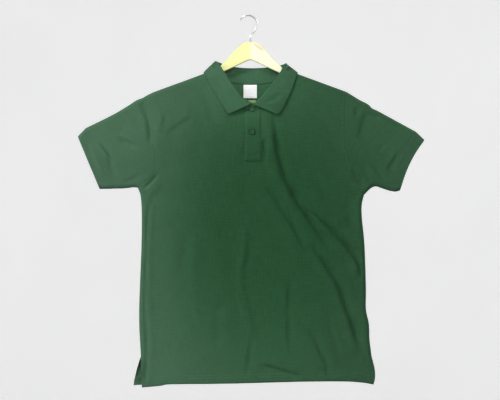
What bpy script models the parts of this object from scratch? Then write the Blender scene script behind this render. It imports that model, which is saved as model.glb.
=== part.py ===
"""A short-sleeved polo shirt hanging flat on a wooden hanger.

Left and right are the viewer's. The viewer looks along +Y and +Z is up. The origin is the inside of
the hook's crown, where a rail or peg carries the whole thing. Sizes below are in millimetres; the
meshes are made in metres. Every cloth piece is a wall cut from one flat outline: the outline gives
x and z, and the distance to the nearest folded or closing edge gives how far the cloth stands out.
"""
import math
from collections import namedtuple

import bmesh
import bpy
from mathutils import Vector
from mathutils.geometry import delaunay_2d_cdt

MM = 0.001

# Cloth
WALL = 1.4              # pique of the body and sleeves
RIB_WALL = 1.6          # flat knit of the collar and cuffs
LABEL_WALL = 1.0
SEAM_GAP = 0.3
CORNER_TRIM = 0.24      # how far a fold stops short of a seam that meets it at a slant
FOLD_RADIUS = 9.0       # radius of the cloth's middle where it turns over at an edge
FULLNESS = 10.0         # extra stand-off far from every edge
FULLNESS_REACH = 80.0   # distance over which that stand-off builds up

# Spacing of the mesh's points
EDGE_STEP = 27.0            # along the edges of a piece
NECK_STEP = 10.0            # along a neckline
FINE_STEP = 2.0             # along a curve that is only measured
GRID_STEP = 38.0            # inside a piece
FOLD_ANGLES = (30, 60, 90)
FOLD_ROWS = tuple(FOLD_RADIUS * (1 - math.cos(math.radians(a))) for a in FOLD_ANGLES)

# Shoulder line, the same on both sides, because the hanger sets it
NECK_HALF = 85.0
NECK_POINT_Z = -127.2
SHOULDER_SLOPE = 0.367

# Placket: its upper strip, and the slit in the front that it covers
PLACKET_LEFT, PLACKET_RIGHT, PLACKET_BOTTOM = -12.9, 24.9, -341.5
PLACKET_EASE = 0.1          # added to the strip's gap to the front, whose facets are coarser
SLIT_LEFT, SLIT_RIGHT, SLIT_BOTTOM = -8.5, 20.5, -336.0
SLIT_MARGIN = 2.0           # between the slit's corner and the neckline's next point

# Buttons
BUTTON_RADIUS, BUTTON_THICK = 5.75, 2.4
BUTTON_HOLE_RADIUS, BUTTON_HOLE_OFFSET = 0.9, 1.6
BUTTON_SIDES, BUTTON_HOLE_SIDES = 24, 8
BUTTON_EASE = 0.25          # added to the gap under a button, because the placket bulges
BUTTONS = {"top_button": (3.4, -220.0), "lower_button": (4.2, -273.3)}

# Labels inside the back of the neck: left, right, bottom, top
NECK_LABEL = (-16.4, 15.4, -193.6, -162.0)
SIZE_TAB = (-5.0, 13.0, -206.0, -194.2)

# Hanger
HANGER_THICK = 12.0
HANGER_ROUNDING = 4.6
HANGER_TIP = 222.0
HANGER_TIP_RADIUS = 10.0
HANGER_CLEARANCE = 0.6      # between its top edge and the cloth over it
WIRE_RADIUS = 1.6
HOOK_RADIUS = 21.1          # to the middle of the wire
HOOK_CENTRE_X = -5.9
HOOK_START, HOOK_END = 156, -32     # degrees round the crown, from the tip to the bend
HOOK_BEND = ((8.6, -36.0), (2.4, -42.5), (0.0, -50.0), (0.0, -60.0), (0.0, -75.0))
HOOK_STEPS = 12
HOOK_HOLE_RADIUS, HOOK_HOLE_BOTTOM, HOOK_HOLE_TOP = 1.95, -76.0, -50.0
HOOK_HOLE_SIDES = 12

COLOURS = {
    "pique": (0.030, 0.095, 0.038, 1.0),
    "rib": (0.036, 0.105, 0.046, 1.0),
    "button": (0.020, 0.060, 0.030, 1.0),
    "label": (0.80, 0.80, 0.79, 1.0),
    "tab": (0.42, 0.50, 0.16, 1.0),
    "wood": (0.86, 0.78, 0.42, 1.0),
    "wire": (0.62, 0.62, 0.64, 1.0),
}

Surface = namedtuple("Surface", "points normals faces")
CollarRow = namedtuple("CollarRow", "angle spread roll_x roll_z edge_x edge_z")
HangerRow = namedtuple("HangerRow", "x top bottom")
Fold = namedtuple("Fold", "face depth width route")


def shoulder_z(x):
    """Height of the cloth's middle along either shoulder."""
    return NECK_POINT_Z - SHOULDER_SLOPE * (abs(x) - NECK_HALF)


# Edges of the garment laid flat, as (x, z) points. Those of a side run from the neck outwards along
# the top, and from the cuff inwards and down along the underside.
LEFT = {
    "shoulder": ((-NECK_HALF, NECK_POINT_Z), (-155.0, shoulder_z(155.0)), (-222.0, shoulder_z(222.0)),
                 (-240.0, -185.4), (-252.6, -192.7)),
    "sleeve_top": ((-252.6, -192.7), (-269.0, -199.3), (-288.0, -211.8), (-325.0, -233.4),
                   (-386.6, -263.9)),
    "cuff_top": ((-386.6, -263.9), (-405.8, -283.9)),
    "cuff_edge": ((-405.8, -283.9), (-354.9, -406.1)),
    "cuff_seam": ((-386.6, -263.9), (-325.6, -405.8)),
    "cuff_under": ((-354.9, -406.1), (-325.6, -405.8)),
    "underarm": ((-325.6, -405.8), (-297.0, -405.1), (-276.0, -402.6), (-264.5, -403.8)),
    "side": ((-264.5, -403.8), (-258.0, -424.0), (-255.4, -462.0), (-256.0, -540.0), (-261.5, -700.0),
             (-257.5, -800.0)),
    "vent_line": ((-257.5, -800.0), (-290.0, -885.0)),
    "armhole": ((-252.6, -192.7), (-240.9, -245.0), (-227.0, -304.0), (-222.5, -340.0), (-228.0, -368.0),
                (-243.2, -386.1), (-264.5, -403.8)),
    "front_vent": ((-257.5, -800.0), (-255.0, -873.7)),
    "back_vent": ((-257.5, -800.0), (-266.0, -825.0), (-273.0, -852.0), (-276.1, -870.2)),
}
RIGHT = {
    "shoulder": ((NECK_HALF, NECK_POINT_Z), (155.0, shoulder_z(155.0)), (226.8, -179.3)),
    "sleeve_top": ((226.8, -179.3), (257.3, -198.2), (276.1, -207.8), (313.7, -231.3), (388.0, -271.9)),
    "cuff_top": ((388.0, -271.9), (409.1, -292.1)),
    "cuff_edge": ((409.1, -292.1), (389.6, -320.3), (374.1, -348.5), (362.6, -376.7), (352.0, -409.6)),
    "cuff_seam": ((388.0, -271.9), (366.0, -303.0), (350.0, -333.0), (337.5, -366.0), (324.5, -409.8)),
    "cuff_under": ((352.0, -409.6), (341.0, -412.4), (324.5, -409.8)),
    "underarm": ((324.5, -409.8), (308.0, -404.2), (295.0, -400.4), (283.0, -405.0), (266.7, -421.1)),
    "side": ((266.7, -421.1), (261.6, -445.0), (262.0, -475.0), (268.1, -540.0), (271.5, -640.0),
             (271.5, -690.0), (278.5, -725.0), (280.0, -762.0), (284.6, -799.0)),
    "vent_line": ((284.6, -799.0), (312.0, -884.0)),
    "armhole": ((226.8, -179.3), (222.3, -230.0), (222.1, -285.1), (229.5, -328.0), (250.3, -386.1),
                (266.7, -421.1)),
    "front_vent": ((284.6, -799.0), (292.5, -832.0), (292.5, -853.0), (289.0, -866.7)),
    "back_vent": ((284.6, -799.0), (287.0, -862.0)),
}
NECK_FRONT = ((-NECK_HALF, NECK_POINT_Z), (-78.0, -152.0), (-62.0, -178.0), (-34.0, -203.0), (4.0, -214.0),
              (41.0, -204.0), (65.0, -180.0), (79.0, -152.0), (NECK_HALF, NECK_POINT_Z))
NECK_BACK = ((-NECK_HALF, NECK_POINT_Z), (-72.0, -144.0), (-46.0, -155.8), (0.0, -160.8),
             (46.0, -156.5), (72.0, -144.5), (NECK_HALF, NECK_POINT_Z))
HEM_FRONT = ((-255.0, -873.7), (-213.0, -869.5), (-182.0, -865.4), (-40.0, -863.2), (126.0, -858.9),
             (215.0, -858.8), (262.0, -862.0), (289.0, -866.7))
HEM_BACK = ((-276.1, -870.2), (-230.0, -868.0), (-60.0, -861.0), (130.0, -856.5), (240.0, -857.5),
            (287.0, -862.0))

# The largest folds that the hanging cloth falls into: troughs with soft ends, on the front (face -1)
# and the back (face 1). Width is from the trough's middle to where it has mostly run out.
FOLDS = (
    Fold(-1, 6.5, 11.0, ((56.0, -262.0), (61.0, -313.0), (72.0, -363.0), (97.0, -418.0), (119.0, -454.0),
                         (147.0, -492.0), (174.0, -533.0), (188.0, -554.0))),
    Fold(-1, 6.5, 11.0, ((141.0, -540.0), (174.0, -583.0), (202.0, -627.0), (224.0, -688.0),
                         (246.0, -749.0), (260.0, -792.0))),
    Fold(-1, 4.0, 10.0, ((28.0, -398.0), (59.0, -429.0), (75.0, -456.0), (97.0, -489.0), (114.0, -522.0),
                         (129.0, -553.0))),
    Fold(-1, 4.0, 9.0, ((152.0, -470.0), (185.0, -500.0), (213.0, -528.0), (240.0, -561.0),
                        (254.0, -584.0))),
    Fold(1, 5.5, 12.0, ((-62.0, -300.0), (-88.0, -392.0), (-130.0, -470.0), (-196.0, -548.0))),
    Fold(1, 6.0, 13.0, ((44.0, -380.0), (66.0, -470.0), (108.0, -565.0), (160.0, -655.0), (204.0, -742.0))),
)
FOLD_STEP = 24.0            # between a fold's rows of points
FOLD_LANES = (-1.6, -0.75, 0.0, 0.75, 1.6)      # where its lengthwise rows lie, in widths
FOLD_CLEAR = 34.0           # a fold dies out within this distance of the garment's edges
SLOPE_STEP = 0.5            # for measuring a fold's slope

# The collar goes round the neck from its left front end (-180) past the middle of the back (0) to its
# right front end (180). Each row gives the roll, where it folds over, and the fall's outer edge.
# Spread is the share of the cloth's depth there, negative in front.
COLLAR = (
    CollarRow(-180, -1.0, 2.8, -206.0, -51.0, -232.0),
    CollarRow(-162, -1.0, -15.0, -190.0, -63.0, -216.0),
    CollarRow(-144, -1.0, -33.0, -173.0, -76.0, -195.0),
    CollarRow(-126, -1.0, -50.0, -152.0, -90.0, -171.0),
    CollarRow(-108, -1.0, -66.0, -128.0, -102.0, -150.0),
    CollarRow(-98, -0.7, -76.0, -114.0, -107.0, -140.5),
    CollarRow(-90, 0.0, -82.0, -106.5, -110.0, -133.0),
    CollarRow(-82, 0.7, -78.0, -107.5, -108.0, -141.0),
    CollarRow(-68, 1.0, -68.0, -111.0, -99.0, -153.0),
    CollarRow(-40, 1.0, -42.0, -118.5, -66.0, -167.0),
    CollarRow(0, 1.0, 0.0, -121.7, 0.0, -173.0),
    CollarRow(40, 1.0, 42.0, -120.0, 66.0, -168.0),
    CollarRow(68, 1.0, 69.0, -115.5, 100.0, -154.0),
    CollarRow(82, 0.7, 79.5, -113.0, 109.0, -142.0),
    CollarRow(90, 0.0, 83.4, -112.0, 111.0, -133.4),
    CollarRow(98, -0.7, 78.5, -121.5, 108.0, -142.0),
    CollarRow(108, -1.0, 71.0, -134.0, 104.0, -153.0),
    CollarRow(126, -1.0, 57.0, -155.0, 97.0, -173.0),
    CollarRow(144, -1.0, 41.0, -174.0, 87.0, -194.0),
    CollarRow(162, -1.0, 24.0, -194.0, 76.5, -216.0),
    CollarRow(180, -1.0, 8.2, -207.5, 64.6, -234.0),
)
COLLAR_STEP = 8.0           # degrees between sections, closer where it crosses the shoulders
COLLAR_SIDE_STEPS = (0.0, 1.0, 3.4, 6.8)
ROLL_RADIUS = 2.6
ROLL_STAND_OFF = 4.6        # of the roll's centre, outside the cloth's own surface
FALL_STAND_OFF = 3.3        # of the fall's outer edge
STAND_INSET = 1.1           # of the collar's seam edge, inside the neckline
COLLAR_GAP = 0.3            # half the gap between the collar's two front ends

# Wooden hanger, from the middle outwards, the same on both sides
HANGER = (
    HangerRow(0.0, -60.6, -103.0),
    HangerRow(11.0, -61.6, -105.5),
    HangerRow(20.0, -65.6, -109.5),
    HangerRow(29.0, -73.2, -113.8),
    HangerRow(50.0, -96.0, -123.8),
    HangerRow(70.0, -117.0, -134.5),
)
HANGER_DEPTH_AT = ((80.0, 16.0), (85.0, 16.0), (120.0, 19.0), (165.0, 21.0), (205.0, 20.0))


def smooth_path(points, step, graded=False):
    """Points about `step` apart on a smooth curve through `points`.

    A graded path that starts or ends on a fold also has a point at the depth of each fold row.
    """
    spans = [Vector(p) for p in points]
    spans = [2 * spans[0] - spans[1]] + spans + [2 * spans[-1] - spans[-2]]
    fine = [spans[1]]
    for a, b, c, d in zip(spans, spans[1:], spans[2:], spans[3:]):
        for i in range(1, 17):
            t = i / 16
            fine.append(0.5 * (2 * b + (c - a) * t + (2 * a - 5 * b + 4 * c - d) * t ** 2
                               + (3 * b - a - 3 * c + d) * t ** 3))
    length = path_length(fine)
    first = fold_marks(fine) if graded else []
    last = [length - m for m in fold_marks(fine[::-1])][::-1] if graded else []
    start, end = (first or [0.0])[-1], (last or [length])[0]
    count = max(1, round((end - start) / step))
    even = [start + (end - start) * i / count for i in range(count + 1)]
    marks = [0.0] * bool(first) + first[:-1] + even + last[1:] + [length] * bool(last)
    return [point_along(fine, m) for m in marks]


def fold_marks(path):
    """How far along a path it reaches the depth of each fold row, if it starts on a fold."""
    marks, travelled = [], 0.0
    if edge_distance(path[0])[0] > SEAM_GAP:
        return marks
    for a, b in zip(path, path[1:]):
        before, after = edge_distance(a)[0], edge_distance(b)[0]
        while len(marks) < len(FOLD_ROWS) and after >= FOLD_ROWS[len(marks)]:
            share = (FOLD_ROWS[len(marks)] - before) / (after - before)
            marks.append(travelled + share * (b - a).length)
        travelled += (b - a).length
    return marks


def path_length(path):
    """Length of a path of straight stretches."""
    return sum((b - a).length for a, b in zip(path, path[1:]))


def point_along(path, distance):
    """The point at a distance along a path."""
    for a, b in zip(path, path[1:]):
        span = (b - a).length
        if distance <= span:
            return a.lerp(b, max(0.0, distance) / span) if span else a.copy()
        distance -= span
    return path[-1].copy()


def trimmed(path, start=0.0, end=0.0):
    """A path with its two ends moved in along it, in place."""
    first = path[0].lerp(path[1], start / (path[1] - path[0]).length)
    last = path[-1].lerp(path[-2], end / (path[-2] - path[-1]).length)
    return [first] + path[1:-1] + [last]


def inset(path, distance):
    """The inner points of a path, moved to its left."""
    moved = []
    for before, point, after in zip(path, path[1:], path[2:]):
        along = (after - before).normalized()
        moved.append(point + distance * Vector((-along.y, along.x)))
    return moved


def nearest(path, point):
    """Distance from a point to a path, negative on the path's right, and the unit vector inwards.

    The cloth lies on the left of every closing path.
    """
    best = None
    for i, (a, b) in enumerate(zip(path, path[1:])):
        along = b - a
        t = (point - a).dot(along) / along.length_squared
        end = (i == 0 and t < 0) or (i == len(path) - 2 and t > 1)
        foot = a + min(1.0, max(0.0, t)) * along
        gap = (point - foot).length
        if best is None or gap < best[0] - 1e-6:
            kept = [along] if best is None or gap < best[0] - SEAM_GAP else best[2] + [along]
            best = [gap, foot, kept, end]
        elif gap < best[0] + SEAM_GAP:
            best[2].append(along)
    gap, foot, alongs, end = best
    tangent = sum((a.normalized() for a in alongs), Vector((0.0, 0.0))).normalized()
    inward = Vector((-tangent.y, tangent.x))
    if gap < 1e-4:
        return 0.0, inward
    away = (point - foot) / gap
    if end or away.dot(inward) > 0:
        return gap, away
    return -gap, -away


def closing_paths():
    """The four paths along which front and back come together, cloth on the left of each."""
    def joined(side, names):
        path = []
        for name in names:
            path += smooth_path(side[name], EDGE_STEP)[1 if path else 0:]
        return path

    low, top = ("cuff_under", "underarm", "side", "vent_line"), ("shoulder", "sleeve_top", "cuff_top")
    return (joined(LEFT, low), joined(RIGHT, low)[::-1], joined(LEFT, top), joined(RIGHT, top)[::-1])


CLOSING = closing_paths()
FOLD_ROUTES = {fold.route: smooth_path(fold.route, FOLD_STEP / 2) for fold in FOLDS}


def edge_distance(point):
    """Blended distance to the closing paths, negative outside them, and the unit vector inwards."""
    found = [nearest(path, point) for path in CLOSING]
    distance, inward = min(found, key=lambda f: abs(f[0]))
    if abs(distance) < FOLD_RADIUS / 4 or distance < 0:
        return distance, inward
    weights = [abs(d) ** -3 for d, _ in found]
    blended = sum(weights) ** (-1 / 3)
    inward = sum((w * (blended / abs(d)) * n for w, (d, n) in zip(weights, found)), Vector((0.0, 0.0)))
    return blended, inward.normalized()


def fold_height(point, face):
    """How far the large folds of one face push the cloth in, as a negative height."""
    clear = max(0.0, min(1.0, edge_distance(point)[0] / FOLD_CLEAR))
    height = 0.0
    for fold in FOLDS:
        if fold.face == face:
            route = FOLD_ROUTES[fold.route]
            gap, foot = min(((point - f).length, f) for f in feet(route, point))
            ends = min((foot - route[0]).length, (foot - route[-1]).length)
            taper = math.sin(0.5 * math.pi * min(1.0, ends / (6 * fold.width)))
            height -= clear * taper * fold.depth * math.exp(-(gap / fold.width) ** 2)
    return height


def feet(path, point):
    """The nearest point to `point` on each stretch of a path."""
    for a, b in zip(path, path[1:]):
        along = b - a
        yield a + min(1.0, max(0.0, (point - a).dot(along) / along.length_squared)) * along


def fold_slope(point, face):
    """Slope of the large folds at a point, along x and z."""
    steps = (Vector((SLOPE_STEP, 0.0)), Vector((0.0, SLOPE_STEP)))
    return Vector([(fold_height(point + s, face) - fold_height(point - s, face)) / (2 * SLOPE_STEP)
                   for s in steps])


def fold_lanes(face):
    """Rows of points along each large fold of one face, as open paths for the panel's mesh."""
    lanes = []
    for fold in FOLDS:
        if fold.face == face:
            route = smooth_path(fold.route, FOLD_STEP)
            sides = [Vector((a.y - b.y, b.x - a.x)).normalized() for a, b in zip(route, route[2:])]
            lanes += [[p + n * lane * fold.width for p, n in zip(route[1:], sides)] for lane in FOLD_LANES]
    return lanes


def depth(point):
    """How far the cloth's middle stands from the garment's middle plane."""
    distance = max(0.0, edge_distance(point)[0])
    turned = min(distance, FOLD_RADIUS)
    fold = math.sqrt(max(0.0, 2 * FOLD_RADIUS * turned - turned ** 2))
    beyond = max(0.0, distance - FOLD_RADIUS) / FULLNESS_REACH
    return fold + FULLNESS * (1 - math.exp(-beyond ** 2))


def outward(point, slope=Vector((0.0, 0.0))):
    """Unit normal of the cloth as (x, z, towards the viewer on the front), tilted by a fold's slope."""
    distance, inward = edge_distance(point)
    if distance < FOLD_RADIUS:
        across = (FOLD_RADIUS - max(0.0, distance)) / FOLD_RADIUS
        facing = math.sqrt(max(0.0, 1 - across ** 2))
    else:
        beyond = (distance - FOLD_RADIUS) / FULLNESS_REACH
        across = FULLNESS / FULLNESS_REACH * 2 * beyond * math.exp(-beyond ** 2)
        facing = 1.0
    normal = Vector((-inward.x * across - slope.x, -inward.y * across - slope.y, facing))
    return normal.normalized()


def inside(outline, point):
    """Whether a flat point lies within a closed outline."""
    odd = False
    for a, b in zip(outline, outline[1:] + outline[:1]):
        if (a.y > point.y) != (b.y > point.y):
            if point.x < a.x + (b.x - a.x) * (point.y - a.y) / (b.y - a.y):
                odd = not odd
    return odd


def outline_gap(outline, point):
    """Distance from a flat point to a closed outline."""
    gaps = []
    for a, b in zip(outline, outline[1:] + outline[:1]):
        along = b - a
        t = min(1.0, max(0.0, (point - a).dot(along) / along.length_squared))
        gaps.append((point - a - t * along).length)
    return min(gaps)


def flat_mesh(outline, folds=(), through=(), lanes=()):
    """Triangles over a closed outline, as flat points and faces.

    Rows follow each fold where the cloth turns over. The closed paths in `through` and the open ones
    in `lanes` are kept as edges.
    """
    points = list(outline)
    edges = [(i, (i + 1) % len(outline)) for i in range(len(outline))]
    for fold in folds:
        for row in FOLD_ROWS:
            kept = [p + row * nearest(fold, p)[1] for p in fold[1:-1]]
            kept = [i for i in kept if inside(outline, i) and outline_gap(outline, i) > 0.9 * row]
            ends = [seam_point(outline, fold, end, row) for end in (fold[0], fold[-1])]
            start = len(points)
            points += kept
            chain = ends[:1] + list(range(start, start + len(kept))) + ends[1:]
            edges += [pair for pair in zip(chain, chain[1:]) if kept and None not in pair]
    for path in through:
        start = len(points)
        points += path
        edges += [(start + i, start + (i + 1) % len(path)) for i in range(len(path))]
    for path in lanes:
        start = len(points)
        points += path
        edges += [(start + i, start + i + 1) for i in range(len(path) - 1)]
    fixed = len(points)
    low = Vector((min(p.x for p in outline), min(p.y for p in outline)))
    high = Vector((max(p.x for p in outline), max(p.y for p in outline)))
    rise = GRID_STEP * math.sqrt(3) / 2
    for j in range(1, int((high.y - low.y) / rise) + 1):
        for i in range(int((high.x - low.x) / GRID_STEP) + 2):
            place = low + Vector(((i + 0.5 * (j % 2)) * GRID_STEP, j * rise))
            if not inside(outline, place) or outline_gap(outline, place) < GRID_STEP / 2:
                continue
            if min((place - p).length for p in points[:fixed]) > GRID_STEP / 2:
                points.append(place)
    folded = {point_key(p) for fold in folds for p in fold}
    while True:
        made = delaunay_2d_cdt(points, edges, [], 1, 1e-4)
        bridges = fold_bridges(made[0], made[2], folded)
        if not bridges:
            return made[0], made[2]
        points += bridges


def seam_point(outline, fold, end, row):
    """Index of the outline's point at a fold row's depth near one end of the fold, if it has one."""
    near = [(abs(nearest(fold, p)[0] - row), i) for i, p in enumerate(outline)
            if SEAM_GAP < (p - end).length < 4 * row and point_key(p) not in map(point_key, fold)]
    off, index = min(near, default=(row, None))
    return index if off < 0.3 * row else None


def point_key(point):
    """A flat point rounded, so that equal points can be matched."""
    return tuple(round(v, 3) for v in point)


def fold_bridges(points, faces, folded):
    """Midpoints of the inner edges that join two points of a fold, which would flatten its round."""
    uses = {}
    for f in faces:
        for a, b in zip(f, f[1:] + f[:1]):
            uses[min(a, b), max(a, b)] = uses.get((min(a, b), max(a, b)), 0) + 1
    on_fold = [key in folded for key in map(point_key, points)]
    inner = [edge for edge, count in uses.items() if count == 2]
    return [0.5 * (points[a] + points[b]) for a, b in inner if on_fold[a] and on_fold[b]]


def wall(name, surface, thickness, material):
    """A closed wall of even thickness about a surface."""
    half = 0.5 * thickness
    count = len(surface.points)
    points = [p + half * n for p, n in zip(surface.points, surface.normals)]
    points += [p - half * n for p, n in zip(surface.points, surface.normals)]
    faces = [tuple(f) for f in surface.faces]
    ways = {(a, b) for f in faces for a, b in zip(f, f[1:] + f[:1])}
    rims = [(b, a, a + count, b + count) for a, b in ways if (b, a) not in ways]
    faces += [tuple(i + count for i in reversed(f)) for f in faces]
    return solid(name, points, faces + rims, material)


def solid(name, points, faces, material):
    """A mesh object from points in millimetres."""
    mesh = bpy.data.meshes.new(name)
    mesh.from_pydata([p * MM for p in points], [], faces)
    mesh.materials.append(finish(material))
    mesh.shade_smooth()
    mesh.set_sharp_from_angle(angle=math.radians(40))
    made = bpy.data.objects.new(name, mesh)
    bpy.context.scene.collection.objects.link(made)
    return made


def finish(name):
    """The Principled material of one kind of piece."""
    material = bpy.data.materials.get(name)
    if material is None:
        material = bpy.data.materials.new(name)
        material.use_nodes = True
        shader = material.node_tree.nodes["Principled BSDF"]
        shader.inputs["Base Color"].default_value = COLOURS[name]
        shader.inputs["Roughness"].default_value = 0.3 if name == "wire" else 0.8
        shader.inputs["Metallic"].default_value = 1.0 if name == "wire" else 0.0
        material.diffuse_color = COLOURS[name]
    return material


def sheet(points, faces, face, lift, folded=False):
    """A flat mesh put on the front (face -1) or back (face 1) of the garment, facing outwards.

    Lift moves it off the cloth's middle, and a folded sheet has the large folds of its face.
    """
    placed, normals = [], []
    for p in points:
        height, slope = 0.0, Vector((0.0, 0.0))
        if folded:
            height, slope = fold_height(p, face), fold_slope(p, face)
        n = outward(p, slope)
        placed.append(Vector((p.x + lift * n.x, face * (depth(p) + height + lift * n.z), p.y + lift * n.y)))
        normals.append(Vector((n.x, face * n.z, n.y)))
    turned = faces if face < 0 else [f[::-1] for f in faces]
    return Surface(placed, normals, [tuple(f) for f in turned])


def panel(name, face, neck, hem, vent, slit=(), through=()):
    """A front or back body panel, with its side, shoulder, armhole, neck, vent and hem edges."""
    half_gap = SEAM_GAP / 2
    folds, outline = [], []
    for side, down in ((LEFT, True), (RIGHT, False)):
        seam = smooth_path(side["side"], EDGE_STEP)
        shoulder = smooth_path(side["shoulder"], EDGE_STEP)
        seam = trimmed(seam, start=CORNER_TRIM)
        shoulder = trimmed(shoulder, end=CORNER_TRIM)
        folds += [seam if down else seam[::-1], shoulder if down else shoulder[::-1]]
    armholes = [smooth_path(side["armhole"], EDGE_STEP, graded=True) for side in (LEFT, RIGHT)]
    vents = [smooth_path(side[vent], EDGE_STEP, graded=True) for side in (LEFT, RIGHT)]
    neck_path = smooth_path(neck, NECK_STEP, graded=True)
    outline += folds[0] + vents[0][1:-1]
    outline += smooth_path(hem, EDGE_STEP)
    outline += vents[1][::-1][1:-1] + folds[2]
    outline += inset(armholes[1][::-1], half_gap)
    outline += folds[3]
    right_neck, left_neck = neck_path[::-1], []
    if slit:
        top = neck_heights(neck)
        left_neck = [p for p in right_neck if p.x < SLIT_LEFT - SLIT_MARGIN]
        right_neck = [p for p in right_neck if p.x > SLIT_RIGHT + SLIT_MARGIN]
        outline += inset(right_neck + [Vector((SLIT_RIGHT, top(SLIT_RIGHT)))], half_gap)
        outline += slit
        outline += inset([Vector((SLIT_LEFT, top(SLIT_LEFT)))] + left_neck, half_gap)
    else:
        outline += inset(right_neck, half_gap)
    outline += folds[1] + inset(armholes[0], half_gap)
    points, faces = flat_mesh(outline, folds, through, fold_lanes(face))
    surface = sheet(points, faces, face, 0.0, folded=True)
    shifted = [p + Vector((0, face * half_gap, 0)) for p in surface.points]
    return wall(name, surface._replace(points=shifted), WALL, "pique")


def neck_heights(neck):
    """A function from x to the height of a neckline."""
    path = smooth_path(neck, FINE_STEP)

    def height(x):
        for a, b in zip(path, path[1:]):
            if a.x <= x <= b.x:
                return a.y + (b.y - a.y) * (x - a.x) / (b.x - a.x)
        return path[0].y

    return height


def tube(name, material, thickness, top, under, outer, inner, left, outer_sewn):
    """A sleeve or cuff: front and back halves, joined along the top fold and the underside."""
    half_gap = SEAM_GAP / 2
    outer_gap = half_gap if outer_sewn else 0.0
    outer_trim = CORNER_TRIM if outer_sewn else 0.0
    top_fold = trimmed(smooth_path(top, EDGE_STEP), CORNER_TRIM, outer_trim)
    under_fold = trimmed(smooth_path(under, EDGE_STEP), outer_trim, CORNER_TRIM)
    outer_path = smooth_path(outer, EDGE_STEP, graded=True)
    inner_path = smooth_path(inner, EDGE_STEP, graded=True)
    if left:
        folds = [top_fold, under_fold]
        outline = top_fold + inset(outer_path, outer_gap) + under_fold + inset(inner_path[::-1], half_gap)
    else:
        folds = [top_fold[::-1], under_fold[::-1]]
        outline = folds[1] + inset(outer_path[::-1], outer_gap) + folds[0] + inset(inner_path, half_gap)
    points, faces = flat_mesh(outline, folds)
    front = sheet(points, faces, -1, 0.0)
    back = sheet(points, faces, 1, 0.0)
    folded = {point_key(p) for fold in folds for p in fold}
    shared = [point_key(p) in folded for p in points]
    index, extra = [], 0
    for i, both in enumerate(shared):
        index.append(i if both else len(points) + extra)
        extra += 0 if both else 1
    surface = Surface(
        front.points + [p for p, both in zip(back.points, shared) if not both],
        front.normals + [n for n, both in zip(back.normals, shared) if not both],
        front.faces + [tuple(index[i] for i in f) for f in back.faces])
    return wall(name, surface, thickness, material)


def sleeve(side_name, side):
    """A sleeve and the ribbed cuff sewn to its end."""
    left = side is LEFT
    tube(side_name + "_sleeve", "pique", WALL, side["sleeve_top"], side["underarm"], side["cuff_seam"],
         side["armhole"], left, outer_sewn=True)
    tube(side_name + "_cuff", "rib", RIB_WALL, side["cuff_top"], side["cuff_under"], side["cuff_edge"],
         side["cuff_seam"], left, outer_sewn=False)


def strip_outline(left, right, bottom, top):
    """A placket strip's outline; its upper end follows the front neckline."""
    drop = smooth_path(((left, top(left)), (left, bottom)), EDGE_STEP)
    rise = smooth_path(((right, bottom), (right, top(right))), EDGE_STEP)
    middle = 0.5 * (left + right)
    return drop + rise + [Vector((middle, top(middle)))]


def box_outline(left, right, bottom, top):
    """The outline of an upright rectangle."""
    return [Vector(p) for p in ((left, top), (left, bottom), (right, bottom), (right, top))]


def patch(name, outline, face, lift, thickness, material):
    """A flat piece lying on the garment's front or, with a negative lift, inside it."""
    points, faces = flat_mesh(outline)
    wall(name, sheet(points, faces, face, lift), thickness, material)


def pushed_out(point, lift):
    """A point moved clear of the body cloth by at least `lift`, measured from the cloth's middle."""
    flat = Vector((point.x, point.z))
    face = -1 if point.y < 0 else 1
    distance, inward = edge_distance(flat)
    if distance >= FOLD_RADIUS:
        return Vector((point.x, face * max(abs(point.y), depth(flat) + lift), point.z))
    across, facing = FOLD_RADIUS - distance, abs(point.y)
    reach = math.hypot(across, facing)
    if reach >= FOLD_RADIUS + lift:
        return point
    grow = (FOLD_RADIUS + lift) / reach
    moved = flat - inward * across * (grow - 1)
    return Vector((moved.x, face * facing * grow, moved.y))


def collar_curves():
    """Seam, roll and outer edge of the collar at each station round the neck."""
    rows = []
    for row in COLLAR:
        roll, edge = Vector((row.roll_x, row.roll_z)), Vector((row.edge_x, row.edge_z))
        roll_y = row.spread * (depth(roll) + ROLL_STAND_OFF)
        edge_y = row.spread * (depth(edge) + FALL_STAND_OFF)
        ends = math.copysign(COLLAR_GAP, row.angle) if abs(row.angle) == 180 else 0.0
        rows.append((row.angle, Vector((roll.x + ends, roll_y, roll.y)), Vector((edge.x, edge_y, edge.y))))
    front, back = smooth_path(NECK_FRONT, FINE_STEP), smooth_path(NECK_BACK, FINE_STEP)
    stations = {s * (90 + d * g) for s in (-1, 1) for d in (-1, 1) for g in COLLAR_SIDE_STEPS}
    for start, end in ((-180, -96.8), (-83.2, 83.2), (96.8, 180)):
        count = math.ceil((end - start) / COLLAR_STEP)
        stations |= {round(start + (end - start) * k / count, 6) for k in range(count + 1)}
    curves = []
    for angle in sorted(stations):
        i = min(len(rows) - 2, max(j for j, row in enumerate(rows) if row[0] <= angle))
        t = (angle - rows[i][0]) / (rows[i + 1][0] - rows[i][0])
        roll, edge = [hermite([r[c] for r in rows], [r[0] for r in rows], i, t) for c in (1, 2)]
        curves.append((angle, neck_seam(angle, front, back), roll, edge))
    return curves


def hermite(values, places, i, t):
    """Smooth value between rows i and i + 1 of a table with uneven places."""
    def slope(j):
        a, b = max(0, j - 1), min(len(values) - 1, j + 1)
        return (values[b] - values[a]) / (places[b] - places[a])

    span = places[i + 1] - places[i]
    return ((2 * t ** 3 - 3 * t ** 2 + 1) * values[i] + (t ** 3 - 2 * t ** 2 + t) * span * slope(i)
            + (3 * t ** 2 - 2 * t ** 3) * values[i + 1] + (t ** 3 - t ** 2) * span * slope(i + 1))


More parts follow.
